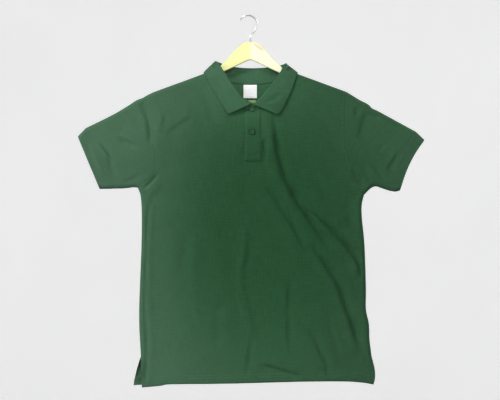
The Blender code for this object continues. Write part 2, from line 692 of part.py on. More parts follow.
def neck_seam(angle, front, back):
    """Where the collar's sewn edge lies at an angle round the neck, just inside the neckline."""
    if abs(angle) <= 90:
        path, share, face = back, 0.5 + angle / 180, 1
    else:
        turn = (abs(angle) - 90) / 180
        path, share, face = front, turn if angle < 0 else 1 - turn, -1
    length = path_length(path)
    place = point_along(path, share * length)
    ahead = point_along(path, min(length, share * length + 1.0))
    behind = point_along(path, max(0.0, share * length - 1.0))
    along = (ahead - behind).normalized()
    inner = place + STAND_INSET * Vector((-along.y, along.x))
    return Vector((inner.x, face * depth(place), inner.y))


def collar():
    """The flat-knit collar: its stand, its roll and its fall, as one folded strip round the neck."""
    grid = []
    for angle, seam, roll, edge in collar_curves():
        turn = math.radians(angle)
        out = Vector((math.sin(turn), math.cos(turn), 0.0)).normalized()
        down_stand, down_fall = (seam - roll).normalized(), (edge - roll).normalized()
        up = -(down_stand + down_fall)
        up = (up - up.dot(out) * out).normalized()
        centre = roll - ROLL_RADIUS * up
        section = [seam, seam.lerp(centre - ROLL_RADIUS * out, 0.5)]
        for turned in (180, 135, 90, 45, 0):
            a = math.radians(turned)
            section.append(centre + ROLL_RADIUS * (math.cos(a) * out + math.sin(a) * up))
        last = section[-1]
        for share in (0.33, 0.67, 1.0):
            section.append(pushed_out(last.lerp(edge, share), FALL_STAND_OFF))
        grid.append(section)
    rows, columns = len(grid), len(grid[0])
    points = [p for section in grid for p in section]
    faces = []
    for r in range(rows - 1):
        for c in range(columns - 1):
            a = r * columns + c
            faces.append((a, a + 1, a + columns + 1, a + columns))
    normals = []
    for r in range(rows):
        for c in range(columns):
            along = grid[min(r + 1, rows - 1)][c] - grid[max(r - 1, 0)][c]
            across = grid[r][min(c + 1, columns - 1)] - grid[r][max(c - 1, 0)]
            normals.append(across.cross(along).normalized())
    return wall("collar", Surface(points, normals, faces), RIB_WALL, "rib")


def button(name, x, z):
    """A four-hole button lying on the placket."""
    def circle(cx, cz, radius, count):
        turns = [2 * math.pi * i / count for i in range(count)]
        return [Vector((cx + radius * math.cos(t), cz + radius * math.sin(t))) for t in turns]

    rim = circle(x, z, BUTTON_RADIUS, BUTTON_SIDES)
    places = [(x + i * BUTTON_HOLE_OFFSET, z + j * BUTTON_HOLE_OFFSET) for i in (-1, 1) for j in (-1, 1)]
    holes = [circle(*place, BUTTON_HOLE_RADIUS, BUTTON_HOLE_SIDES) for place in places]
    points, edges = [], []
    for loop in [rim] + holes:
        start = len(points)
        points += loop
        edges += [(start + i, start + (i + 1) % len(loop)) for i in range(len(loop))]
    made = delaunay_2d_cdt(points, edges, [], 1, 1e-5)
    faces = []
    for f in made[2]:
        middle = sum((made[0][i] for i in f), Vector((0.0, 0.0))) / len(f)
        if not any(inside(hole, middle) for hole in holes):
            faces.append(tuple(f))
    seat = depth(Vector((x, z))) + 0.5 * SEAM_GAP + 1.5 * WALL + 2 * SEAM_GAP + BUTTON_EASE
    middle_y = -(seat + 0.5 * BUTTON_THICK)
    flat = [Vector((p.x, middle_y, p.y)) for p in made[0]]
    return wall(name, Surface(flat, [Vector((0, -1, 0))] * len(flat), faces), BUTTON_THICK, "button")


def arm_top(x):
    """Height of the hanger's upper edge under the shoulder cloth."""
    return shoulder_z(x) - 0.5 * WALL - HANGER_CLEARANCE


def hanger_wood():
    """The wooden hanger: a plate with rounded edges and a drilled hole for the hook."""
    rows = [(r.x, r.top, r.bottom) for r in HANGER]
    for x, height in HANGER_DEPTH_AT:
        rows.append((x, arm_top(x), arm_top(x) - height))
    half = [Vector((x, top)) for x, top, _ in rows]
    slope = math.atan(SHOULDER_SLOPE)
    x = HANGER_TIP - HANGER_TIP_RADIUS
    middle = Vector((x, arm_top(x) - HANGER_TIP_RADIUS / math.cos(slope)))
    for turn in (90, 58, 26, -6, -38, -70):
        a = math.radians(turn) - slope
        half.append(middle + HANGER_TIP_RADIUS * Vector((math.cos(a), math.sin(a))))
    half += [Vector((x, bottom)) for x, _, bottom in reversed(rows)]
    outline = half + [Vector((-p.x, p.y)) for p in reversed(half[1:-1])]
    outline = outline[::-1]
    y = 0.5 * HANGER_THICK
    points = [Vector((p.x, -y, p.y)) for p in outline] + [Vector((p.x, y, p.y)) for p in outline]
    count = len(outline)
    faces = [tuple(range(count)), tuple(range(2 * count - 1, count - 1, -1))]
    faces += [((i + 1) % count, i, i + count, (i + 1) % count + count) for i in range(count)]
    plate = solid("hanger_wood", points, faces, "wood")
    bevel = plate.modifiers.new("rounded edges", "BEVEL")
    bevel.width = HANGER_ROUNDING * MM
    bevel.segments = 3
    bevel.limit_method = "ANGLE"
    bevel.angle_limit = math.radians(60)
    bevel.use_clamp_overlap = False
    drill = cylinder("hook_drill", HOOK_HOLE_RADIUS, HOOK_HOLE_BOTTOM, HOOK_HOLE_TOP)
    cut = plate.modifiers.new("hook hole", "BOOLEAN")
    cut.operation = "DIFFERENCE"
    cut.solver = "EXACT"
    cut.object = drill
    return plate


def cylinder(name, radius, bottom, top):
    """A cutter: an upright cylinder about the hook's stem."""
    mesh = bpy.data.meshes.new(name)
    shape = bmesh.new()
    bmesh.ops.create_cone(shape, cap_ends=True, segments=HOOK_HOLE_SIDES, radius1=radius * MM,
                          radius2=radius * MM, depth=(top - bottom) * MM)
    bmesh.ops.translate(shape, verts=shape.verts, vec=(0, 0, 0.5 * (top + bottom) * MM))
    shape.to_mesh(mesh)
    shape.free()
    made = bpy.data.objects.new(name, mesh)
    bpy.context.scene.collection.objects.link(made)
    made.hide_render = True
    made.display_type = "WIRE"
    return made


def hanger_hook():
    """The bent wire hook: most of a circle, then a bend into the stem."""
    centre_z = WIRE_RADIUS - HOOK_RADIUS
    route = []
    for i in range(HOOK_STEPS + 1):
        a = math.radians(HOOK_START + (HOOK_END - HOOK_START) * i / HOOK_STEPS)
        route.append((HOOK_CENTRE_X + HOOK_RADIUS * math.cos(a), centre_z + HOOK_RADIUS * math.sin(a)))
    route = [Vector(p) for p in route] + [Vector(p) for p in HOOK_BEND]
    curve = bpy.data.curves.new("hanger_hook", "CURVE")
    curve.dimensions = "3D"
    curve.bevel_depth = WIRE_RADIUS * MM
    curve.bevel_resolution = 2
    curve.use_fill_caps = True
    spline = curve.splines.new("POLY")
    spline.points.add(len(route) - 1)
    for place, point in zip(route, spline.points):
        point.co = (place.x * MM, 0.0, place.y * MM, 1.0)
    curve.materials.append(finish("wire"))
    made = bpy.data.objects.new("hanger_hook", curve)
    bpy.context.scene.collection.objects.link(made)
    return made


def front_and_placket():
    """The front panel with its slit, and the two placket strips: one in the slit, one over it."""
    neckline, half_gap = neck_heights(NECK_FRONT), SEAM_GAP / 2

    def below_neck(x):
        return neckline(x) - half_gap

    slit = []
    for start, end in (((SLIT_RIGHT, below_neck(SLIT_RIGHT)), (SLIT_RIGHT, SLIT_BOTTOM)),
                       ((SLIT_LEFT, SLIT_BOTTOM), (SLIT_LEFT, below_neck(SLIT_LEFT)))):
        slit += smooth_path((start, end), EDGE_STEP)
    panel("front_panel", -1, NECK_FRONT, HEM_FRONT, "front_vent", slit)
    under = strip_outline(SLIT_LEFT + SEAM_GAP, SLIT_RIGHT - SEAM_GAP, SLIT_BOTTOM + SEAM_GAP, below_neck)
    patch("placket_under", under, -1, half_gap, WALL, "pique")
    over = strip_outline(PLACKET_LEFT, PLACKET_RIGHT, PLACKET_BOTTOM, below_neck)
    patch("placket_top", over, -1, half_gap + WALL + SEAM_GAP + PLACKET_EASE, WALL, "pique")


def back_and_labels():
    """The back panel, and the two labels that lie inside it below the collar."""
    labels = {"neck_label": (box_outline(*NECK_LABEL), "label"),
              "size_tab": (box_outline(*SIZE_TAB), "tab")}
    panel("back_panel", 1, NECK_BACK, HEM_BACK, "back_vent", through=[o for o, _ in labels.values()])
    inside_back = SEAM_GAP / 2 - 0.5 * (WALL + LABEL_WALL) - SEAM_GAP
    for name, (outline, material) in labels.items():
        patch(name, outline, 1, inside_back, LABEL_WALL, material)


def main():
    """Build the hanger, then the shirt on it."""
    for old in list(bpy.data.objects):
        bpy.data.objects.remove(old)
    hanger_hook()
    hanger_wood()
    front_and_placket()
    back_and_labels()
    for side_name, side in (("left", LEFT), ("right", RIGHT)):
        sleeve(side_name, side)
    collar()
    for name, (x, z) in BUTTONS.items():
        button(name, x, z)


main()
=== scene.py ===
"""A short-sleeved polo shirt hanging flat on a wooden hanger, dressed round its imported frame.

Left and right are the viewer's, who looks along +Y; +Z is up. The origin is the inside of the hook's
crown. Lengths in the tables are in millimetres, as (x, z) where there are two, and meshes are made in
metres. Each cloth piece is cut flat, and the drape says how far every flat point stands out. Arrays of
points hold one point a row.
"""
import logging
import math
from dataclasses import dataclass, field
from enum import Enum

import bpy
import numpy as np
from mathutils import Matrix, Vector
from mathutils.geometry import delaunay_2d_cdt
from mathutils.kdtree import KDTree


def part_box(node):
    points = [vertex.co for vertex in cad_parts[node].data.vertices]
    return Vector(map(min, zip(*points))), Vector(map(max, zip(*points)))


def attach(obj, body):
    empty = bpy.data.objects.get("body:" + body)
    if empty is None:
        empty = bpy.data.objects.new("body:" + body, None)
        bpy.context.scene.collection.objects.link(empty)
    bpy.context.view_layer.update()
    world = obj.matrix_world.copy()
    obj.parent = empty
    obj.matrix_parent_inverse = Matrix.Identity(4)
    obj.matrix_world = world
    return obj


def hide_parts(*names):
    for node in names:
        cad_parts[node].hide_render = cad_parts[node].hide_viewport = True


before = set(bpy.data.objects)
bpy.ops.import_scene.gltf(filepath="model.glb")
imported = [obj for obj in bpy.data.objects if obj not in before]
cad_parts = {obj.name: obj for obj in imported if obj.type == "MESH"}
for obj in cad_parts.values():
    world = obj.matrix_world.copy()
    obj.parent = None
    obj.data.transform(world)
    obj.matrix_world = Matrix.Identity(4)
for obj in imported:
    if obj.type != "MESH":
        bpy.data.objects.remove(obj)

LOG = logging.getLogger("polo")
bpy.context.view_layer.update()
MM = 0.001
BODY = "root"

Point = tuple[float, float]
Place = tuple[float, float, float]
Route = tuple[Point, ...]
Array = np.ndarray
Object, Material = bpy.types.Object, bpy.types.Material
Node, Socket = bpy.types.Node, bpy.types.NodeSocket
Value = object  # what a node's input is joined to or set to


class Face(Enum):
    """The two faces of the flat garment, as the sign of their Y."""

    FRONT = -1
    BACK = 1


class Knit(Enum):
    """How a cloth is made, which sets its surface pattern."""

    PIQUE = "pique"
    RIB = "rib"
    TAPE = "tape"


# ---- the garment's cut

NECK_HALF = 85.0
NECK_POINT_Z = -127.2
SHOULDER_SLOPE = 0.367
CLOTH, RIB_CLOTH, TAPE = 1.4, 1.6, 0.7  # thickness of each kind of cloth
GAP, TRIM = 0.12, 0.1  # between two pieces at a seam, and at the ends of one
SHARP_CREASE = 4.5  # the widest crease that needs lines of its own in a mesh


def shoulder_z(x: float) -> float:
    """Height of either shoulder line at x."""
    return NECK_POINT_Z - SHOULDER_SLOPE * (abs(x) - NECK_HALF)


@dataclass(frozen=True)
class Edges:
    """The edges of one side of the flat garment.

    Those along the top run outwards from the neck, and those underneath run inwards from the cuff and
    then down.
    """

    shoulder: Route
    sleeve_top: Route
    cuff_top: Route
    cuff_edge: Route
    cuff_seam: Route
    cuff_under: Route
    underarm: Route
    side: Route
    vent_line: Route
    armhole: Route
    front_vent: Route
    back_vent: Route


LEFT = Edges(
    shoulder=((-85, -127.2), (-155, shoulder_z(155)), (-222, shoulder_z(222)), (-240, -185.4),
              (-252.6, -192.7)),
    sleeve_top=((-252.6, -192.7), (-269, -199.3), (-288, -211.8), (-325, -233.4), (-386.6, -263.9)),
    cuff_top=((-386.6, -263.9), (-405.8, -283.9)),
    cuff_edge=((-405.8, -283.9), (-354.9, -406.1)),
    cuff_seam=((-386.6, -263.9), (-325.6, -405.8)),
    cuff_under=((-354.9, -406.1), (-325.6, -405.8)),
    underarm=((-325.6, -405.8), (-297, -405.1), (-276, -402.6), (-264.5, -403.8)),
    side=((-264.5, -403.8), (-258, -424), (-255.4, -462), (-256, -540), (-261.5, -700), (-257.5, -800)),
    vent_line=((-257.5, -800), (-290, -885)),
    armhole=((-252.6, -192.7), (-240.9, -245), (-227, -304), (-222.5, -340), (-228, -368), (-243.2, -386.1),
             (-264.5, -403.8)),
    front_vent=((-257.5, -800), (-255, -873.7)),
    back_vent=((-257.5, -800), (-266, -825), (-273, -852), (-276.1, -870.2)),
)
RIGHT = Edges(
    shoulder=((85, -127.2), (155, shoulder_z(155)), (226.8, -179.3)),
    sleeve_top=((226.8, -179.3), (257.3, -198), (273, -205.8), (280, -211), (287, -218), (297.5, -222.6),
                (313.7, -231.3), (388, -271.9)),
    cuff_top=((388, -271.9), (409.1, -292.1)),
    cuff_edge=((409.1, -292.1), (389.6, -320.3), (374.1, -348.5), (362.6, -376.7), (352, -409.6)),
    cuff_seam=((388, -271.9), (366, -303), (350, -333), (337.5, -366), (324.5, -409.8)),
    cuff_under=((352, -409.6), (341, -412.4), (324.5, -409.8)),
    underarm=((324.5, -409.8), (308, -404.2), (295, -400.4), (283, -405), (266.7, -421.1)),
    side=((266.7, -421.1), (261.6, -445), (262, -475), (268.1, -540), (271.5, -640), (271.5, -690),
          (278.5, -725), (280, -762), (284.6, -799)),
    vent_line=((284.6, -799), (312, -884)),
    armhole=((226.8, -179.3), (222.3, -230), (222.1, -285.1), (229.5, -328), (250.3, -386.1),
             (266.7, -421.1)),
    front_vent=((284.6, -799), (292.5, -832), (292.5, -853), (289, -866.7)),
    back_vent=((284.6, -799), (287, -862)),
)
NECK = {
    Face.FRONT: ((-85, -127.2), (-78, -152), (-62, -178), (-34, -203), (4, -214),
                 (41, -204), (65, -180), (79, -152), (85, -127.2)),
    Face.BACK: ((-85, -127.2), (-72, -144), (-46, -155.8), (0, -160.8), (46, -156.5),
                (72, -144.5), (85, -127.2)),
}
HEM = {
    Face.FRONT: ((-255, -873.7), (-213, -869.5), (-182, -865.4), (-40, -863.2),
                 (126, -858.9), (215, -858.8), (262, -862), (289, -866.7)),
    Face.BACK: ((-276.1, -870.2), (-230, -868), (-60, -861), (130, -856.5),
                (240, -857.5), (287, -862)),
}


@dataclass(frozen=True)
class Crease:
    """A soft trough (negative height) or ridge along a route over one face of the garment.

    Width is from its middle to where it has mostly run out. Lip is the share of the height that rises
    the other way beside it, on the route's left where positive and on its right where negative. Fade
    is how many widths it takes to come in at each end. Between the crease and its lip the cloth is
    steep, and spread is how many times wider it runs out on the two other sides.
    """

    face: Face
    height: float
    width: float
    route: Route
    lip: float = 0.0
    fade: float = 5.0
    spread: float = 1.0

    def lanes(self) -> list[Array]:
        """Lines that a mesh needs along a sharp crease: its foot, its steep side and its lip.

        Returns:
            Flat paths, or none for a wide crease.
        """
        if self.width > SHARP_CREASE:
            return []
        path = smooth_curve(self.route, 3.0)
        side = math.copysign(self.width, self.lip)
        return [beside(path, share * side) for share in (-1.0, 0.0, 1.0, 2.0)]

    def heights(self, points: Array) -> Array:
        """How far the crease lifts each flat point.

        Args:
            points: Flat points.

        Returns:
            A height for each point.
        """
        found = np.zeros(len(points))
        path = smooth_curve(self.route, 7.0)
        reach = (2.0 + 3.0 * self.spread) * self.width
        near = np.all((points > path.min(0) - reach) & (points < path.max(0) + reach), axis=1)
        if not near.any():
            return found
        gap, foot, index, share = nearest_on(path, points[near])
        marks = travelled(path)
        place = marks[index] + share * np.diff(marks)[index]
        ends = np.minimum(place, marks[-1] - place) / (self.fade * self.width)
        taper = np.sin(0.5 * math.pi * np.clip(ends, 0.0, 1.0)) ** 1.5
        uneven = 1.0 + 0.2 * np.sin(place / (3.1 * self.width) + self.route[0][0])
        left = np.sign(np.sum((points[near] - foot) * left_normals(path)[index], axis=1))
        u = math.copysign(1.0, self.lip) * left * gap / (self.width * (0.8 + 0.2 * uneven))
        middle = np.exp(-(u / np.where(u < 0.0, self.spread, 1.0)) ** 2)
        raised = np.exp(-((u - 2.0) / np.where(u > 2.0, 1.25 * self.spread, 1.25)) ** 2)
        found[near] = self.height * taper * uneven * (middle - abs(self.lip) * raised)
        return found


F, B = Face.FRONT, Face.BACK
CREASES = (
    # the long diagonals from the placket to the right side
    Crease(F, -6, 3.3, ((50, -218), (55.5, -260), (61, -313), (72, -363), (97, -418), (119, -454),
        (147, -492), (174, -533), (190, -556)), -0.6, 30, 3.6),
    Crease(F, -6.2, 3.8, ((140, -536), (174, -583), (202, -627), (224, -688), (246, -749), (261, -794)),
        -0.45, 14, 3.4),
    Crease(F, -4, 4.2, ((22, -388), (59, -429), (75, -456), (97, -489), (114, -522), (131, -560)), -0.4, 12,
        3.4),
    Crease(F, -6, 3.2, ((140, -458), (185, -500), (213, -528), (240, -561), (254, -586), (261, -620)), -0.6,
        10, 3.2),
    Crease(F, 2.8, 12, ((36, -300), (46, -360), (78, -430), (112, -482), (150, -545)), 0, 4),
    # beside and below the placket
    Crease(F, -3.4, 3.6, ((31.5, -282), (32.5, -305), (34.5, -330), (32, -352)), -0.2, 6, 1.8),
    Crease(F, 1, 1.4, ((25.8, -298), (25.8, -262), (25.8, -212)), 0, 8, 9),
    Crease(F, -5.5, 6, ((-30, -217), (4, -220), (38, -218)), 0.15, 3.6, 1.9),
    Crease(F, -1.6, 6, ((-16, -300), (-17, -335), (-12, -352), (10, -356)), 0, 4),
    Crease(F, 1.8, 12, ((43, -248), (44.5, -290), (47, -330)), 0, 2.5),
    # the upright falls over the belly
    Crease(F, -1.8, 4.4, ((92, -602), (91, -650), (89, -705), (90.5, -760), (96, -805)), -0.4, 10, 2.6),
    Crease(F, 2.4, 9, ((-18, -485), (-12, -540), (-25, -621), (0, -727), (6, -768)), 0.25, 5),
    Crease(F, -1.9, 4.4, ((4, -744), (-3, -800), (-10, -850)), -0.4, 6, 2.4),
    Crease(F, -2, 7.5, ((-10, -510), (-6, -555), (-8, -600)), -0.3, 4),
    Crease(F, -2.8, 4.2, ((141, -735), (163, -787), (178, -815), (180, -850)), -0.4, 7, 2.6),
    Crease(F, -1.8, 8, ((178, -700), (199, -768), (212, -812)), 0.4, 4),
    Crease(F, -3.4, 4.6, ((17.6, -818), (57, -829), (90, -839), (124, -847)), 0.5, 5, 2.2),
    Crease(F, -1.8, 12, ((-142, -500), (-156, -560), (-170, -630)), -0.4, 4),
    Crease(F, 1.4, 11, ((-128, -500), (-133, -590), (-128, -680), (-120, -740)), 0, 4),
    Crease(F, -1.5, 12, ((-60, -640), (-75, -720), (-74, -800)), 0.3, 4),
    # the left edge, where the front rolls over
    Crease(F, -3.6, 4.4, ((-236, -436), (-243, -490), (-247, -590), (-248, -690), (-243, -760),
        (-246, -868)), 0.3, 6, 1.4),
    # left chest and shoulder
    Crease(F, -1.2, 6, ((-197, -224), (-202, -248), (-206, -268)), -0.5, 3, 1.8),
    Crease(F, 1.3, 6.5, ((-206, -232), (-214, -262), (-219, -278)), 0, 2.5),
    Crease(F, -1.9, 5.5, ((-198, -282), (-168, -260), (-134, -238)), 0.5, 4, 2.2),
    Crease(F, -1.2, 9, ((-120, -178), (-96, -215), (-90, -260)), 0, 3),
    # right chest, towards the armhole
    Crease(F, -1.3, 10, ((112, -186), (150, -230), (184, -258), (206, -300)), 0.4, 4),
    Crease(F, -1.2, 12, ((128, -330), (160, -390), (192, -430)), 0.3, 4),
    Crease(F, -1.5, 9, ((238, -420), (232, -455), (244, -500)), 0, 3),
    # left sleeve: the hollow below the shoulder, the nick by the cuff, the armpit
    Crease(F, -3.2, 4.3, ((-262, -196), (-250, -222), (-240, -250), (-236, -284), (-238, -306)), -0.3, 4,
        2.2),
    Crease(F, -2.3, 1.9, ((-355, -298), (-340, -317), (-321, -341)), -0.6, 6, 3),
    Crease(F, -1.2, 2, ((-337, -327), (-331, -340), (-328, -352)), -0.5, 3, 2.4),
    Crease(F, -3.8, 4.4, ((-314, -286), (-290, -297), (-264, -311)), 0.4, 5, 2.4),
    Crease(F, 1.4, 9, ((-378, -286), (-360, -330), (-346, -386)), 0, 3),
    Crease(F, -1.4, 7, ((-338, -330), (-324, -362), (-314, -390)), 0.3, 3),
    Crease(F, -3.9, 3.2, ((-214, -372), (-232, -390), (-252, -410)), 0.3, 4, 2.4),
    Crease(F, 2.2, 7.5, ((-210, -392), (-232, -418), (-246, -446)), 0, 2.5),
    Crease(F, -1.6, 6, ((-300, -398), (-276, -385), (-256, -372)), 0.4, 2.5),
    # right sleeve: hollows below the shoulder, the diagonal by the cuff, the armpit fan
    Crease(F, -2.6, 4.4, ((270, -222), (266, -246), (259, -272), (255, -296)), -0.4, 5, 2.6),
    Crease(F, -3, 5.5, ((247, -212), (250, -226), (250, -240)), -0.4, 2),
    Crease(F, -3.2, 5, ((276, -226), (290, -234), (306, -240)), 0.4, 2),
    Crease(F, -2.8, 3.6, ((350, -322), (338, -338), (328, -354), (324, -368)), -0.5, 4, 2.4),
    Crease(F, -1.7, 6, ((322, -298), (304, -312), (290, -318)), 0.3, 3),
    Crease(F, -2.4, 5.5, ((286, -352), (302, -368), (314, -392)), 0.5, 3),
    Crease(F, -2.2, 5.5, ((262, -352), (276, -376), (284, -396)), 0.5, 3),
    Crease(F, -3, 6, ((238, -356), (252, -384), (270, -404)), -0.3, 2.5),
    # the back, which hangs in folds of the same kind
    Crease(B, -5, 9, ((-62, -296), (-72, -340), (-88, -392), (-130, -470), (-196, -548)), 0.45, 6),
    Crease(B, -5.5, 10, ((40, -366), (66, -470), (108, -565), (160, -655), (204, -742)), -0.4, 6),
    Crease(B, -2.8, 9, ((96, -300), (140, -380), (196, -452)), -0.4, 5),
    Crease(B, -2.6, 9, ((-20, -560), (-32, -650), (-28, -760), (-36, -838)), 0.3, 5),
    Crease(B, 2.2, 11, ((-110, -600), (-128, -700), (-122, -812)), 0, 4),
    Crease(B, -2, 9, ((-176, -640), (-190, -720), (-186, -800)), 0.4, 4),
    Crease(B, -2.2, 8, ((88, -752), (104, -806), (104, -848)), 0.4, 4),
    Crease(B, -1.8, 8, ((-90, -190), (-132, -232), (-184, -262)), 0.4, 4),
    Crease(B, -1.8, 8, ((84, -186), (130, -226), (190, -250)), -0.4, 4),
    Crease(B, -3.6, 6.5, ((-256, -206), (-242, -240), (-236, -300)), 0.4, 3.5),
    Crease(B, -3.2, 6.5, ((262, -222), (254, -262), (248, -306)), -0.4, 3.5),
    Crease(B, -3.4, 6, ((-216, -366), (-238, -392), (-254, -424)), 0.3, 2.5),
    Crease(B, -3, 6, ((240, -352), (254, -384), (268, -410)), -0.3, 2.5),
    Crease(B, -2.4, 6, ((-344, -300), (-330, -334), (-318, -372)), 0.4, 3),
    Crease(B, -2.6, 6, ((346, -322), (328, -346), (318, -378)), -0.4, 3),
)


# ---- flat curves

def travelled(path: Array) -> Array:
    """Distance along a path to each of its points."""
    return np.concatenate([[0.0], np.cumsum(np.linalg.norm(np.diff(path, axis=0), axis=1))])


def along(path: Array, marks: Array) -> Array:
    """Points of a path, in two or three coordinates, at given distances along it."""
    places = travelled(path)
    return np.column_stack([np.interp(marks, places, path[:, k]) for k in range(path.shape[1])])


def resampled(path: Array, step: float) -> Array:
    """A path with its points evenly spaced, about `step` apart."""
    length = travelled(path)[-1]
    return along(path, np.linspace(0.0, length, max(1, round(length / step)) + 1))


def smooth_curve(points: Route, step: float) -> Array:
    """Points about `step` apart on the smooth curve through a few points.

    Args:
        points: The points the curve goes through, in two or three coordinates.
        step: Spacing of the points returned.

    Returns:
        The curve's points.
    """
    given = np.asarray(points, float)
    spans = np.vstack([2 * given[0] - given[1], given, 2 * given[-1] - given[-2]])
    t = np.linspace(0.0, 1.0, 33)[1:, None]
    fine = [spans[1:2]]
    for a, b, c, d in zip(spans, spans[1:], spans[2:], spans[3:]):
        fine.append(0.5 * (2 * b + (c - a) * t + (2 * a - 5 * b + 4 * c - d) * t ** 2
                           + (3 * b - a - 3 * c + d) * t ** 3))
    return resampled(np.vstack(fine), step)


def unit(vectors: Array) -> Array:
    """Vectors scaled to a length of one."""
    return vectors / np.maximum(np.linalg.norm(vectors, axis=-1, keepdims=True), 1e-12)


def left_normals(path: Array) -> Array:
    """Unit vectors to the left of a flat path at each of its points."""
    tangent = np.gradient(path, axis=0)
    return unit(np.column_stack([-tangent[:, 1], tangent[:, 0]]))


def beside(path: Array, distance: float) -> Array:
    """A whole flat path moved to its left."""
    return path + distance * left_normals(path)


def moved_left(path: Array, distance: float = GAP / 2) -> Array:
    """The inner points of a flat path, moved to its left, by half a seam's gap unless told otherwise."""
    return beside(path, distance)[1:-1]


def trimmed(path: Array, start: float = 0.0, end: float = 0.0) -> Array:
    """A path with its two ends moved in along it.

    Args:
        path: The path's points.
        start: How far its start moves.
        end: How far its end moves.

    Returns:
        The new path.
    """
    path = path.copy()
    path[0] += start * unit(path[1] - path[0])
    path[-1] += end * unit(path[-2] - path[-1])
    return path


def in_space(flat: Array, y: Array | float) -> Array:
    """Flat points put in space at a depth, or at a depth each."""
    return np.column_stack([flat[:, 0], np.broadcast_to(y, len(flat)), flat[:, 1]])


def nearest_on(path: Array, points: Array) -> tuple[Array, Array, Array, Array]:
    """Where flat points come nearest to a flat path.

    Args:
        path: The path's points.
        points: The points to place.

    Returns:
        For each point its gap to the path, the foot on it, the stretch it is on and the share of it.
    """
    a, ab = path[:-1], np.diff(path, axis=0)
    square = np.maximum(np.sum(ab ** 2, axis=1), 1e-12)
    found = []
    for chunk in np.array_split(points, max(1, len(points) // 3000)):
        ap = chunk[:, None, :] - a[None]
        t = np.clip((ap[..., 0] * ab[:, 0] + ap[..., 1] * ab[:, 1]) / square, 0.0, 1.0)
        off = ap - t[..., None] * ab[None]
        gap = off[..., 0] ** 2 + off[..., 1] ** 2
        i = np.argmin(gap, axis=1)
        rows = np.arange(len(chunk))
        share = t[rows, i]
        found.append((np.sqrt(gap[rows, i]), a[i] + share[:, None] * ab[i], i, share))
    return tuple(np.concatenate(parts) for parts in zip(*found))


def gap_to(path: Array, points: Array) -> Array:
    """Distances of flat points from a flat path."""
    return nearest_on(path, points)[0]


def within(outline: Array, points: Array) -> Array:
    """Whether each flat point lies inside a closed outline.

    Args:
        outline: The outline's corners.
        points: The points to test.

    Returns:
        A truth value for each point.
    """
    odd = np.zeros(len(points), bool)
    for (ax, ay), (bx, by) in zip(outline, np.roll(outline, -1, axis=0)):
        if ay != by:
            crosses = (ay > points[:, 1]) != (by > points[:, 1])
            odd ^= crosses & (points[:, 0] < ax + (bx - ax) * (points[:, 1] - ay) / (by - ay))
    return odd


def eased(values: Array) -> Array:
    """Values from 0 to 1 with a soft start and end, held outside that range."""
    t = np.clip(values, 0.0, 1.0)
    return t * t * (3.0 - 2.0 * t)


def ridge(distance: Array, width: float) -> Array:
    """A soft ridge of height 1 that runs out over a width."""
    return np.exp(-(distance / width) ** 2)


def hermite(values: Array, places: Array, wanted: Array) -> Array:
    """Smooth values between the rows of a table with uneven places.

    Args:
        values: The table's values, one row for each place.
        places: Where each row stands, rising.
        wanted: Where values are wanted.

    Returns:
        A row of values for each wanted place.
    """
    steps, rises = np.diff(places)[:, None], np.diff(values, axis=0)
    inner = (values[2:] - values[:-2]) / (places[2:] - places[:-2])[:, None]
    slopes = np.vstack([rises[:1] / steps[:1], inner, rises[-1:] / steps[-1:]])
    i = np.clip(np.searchsorted(places, wanted, side="right") - 1, 0, len(places) - 2)
    span = steps[i]
    t = (wanted - places[i])[:, None] / span
    return ((2 * t ** 3 - 3 * t ** 2 + 1) * values[i] + (t ** 3 - 2 * t ** 2 + t) * span * slopes[i]
            + (3 * t ** 2 - 2 * t ** 3) * values[i + 1] + (t ** 3 - t ** 2) * span * slopes[i + 1])


# ---- the hanging form

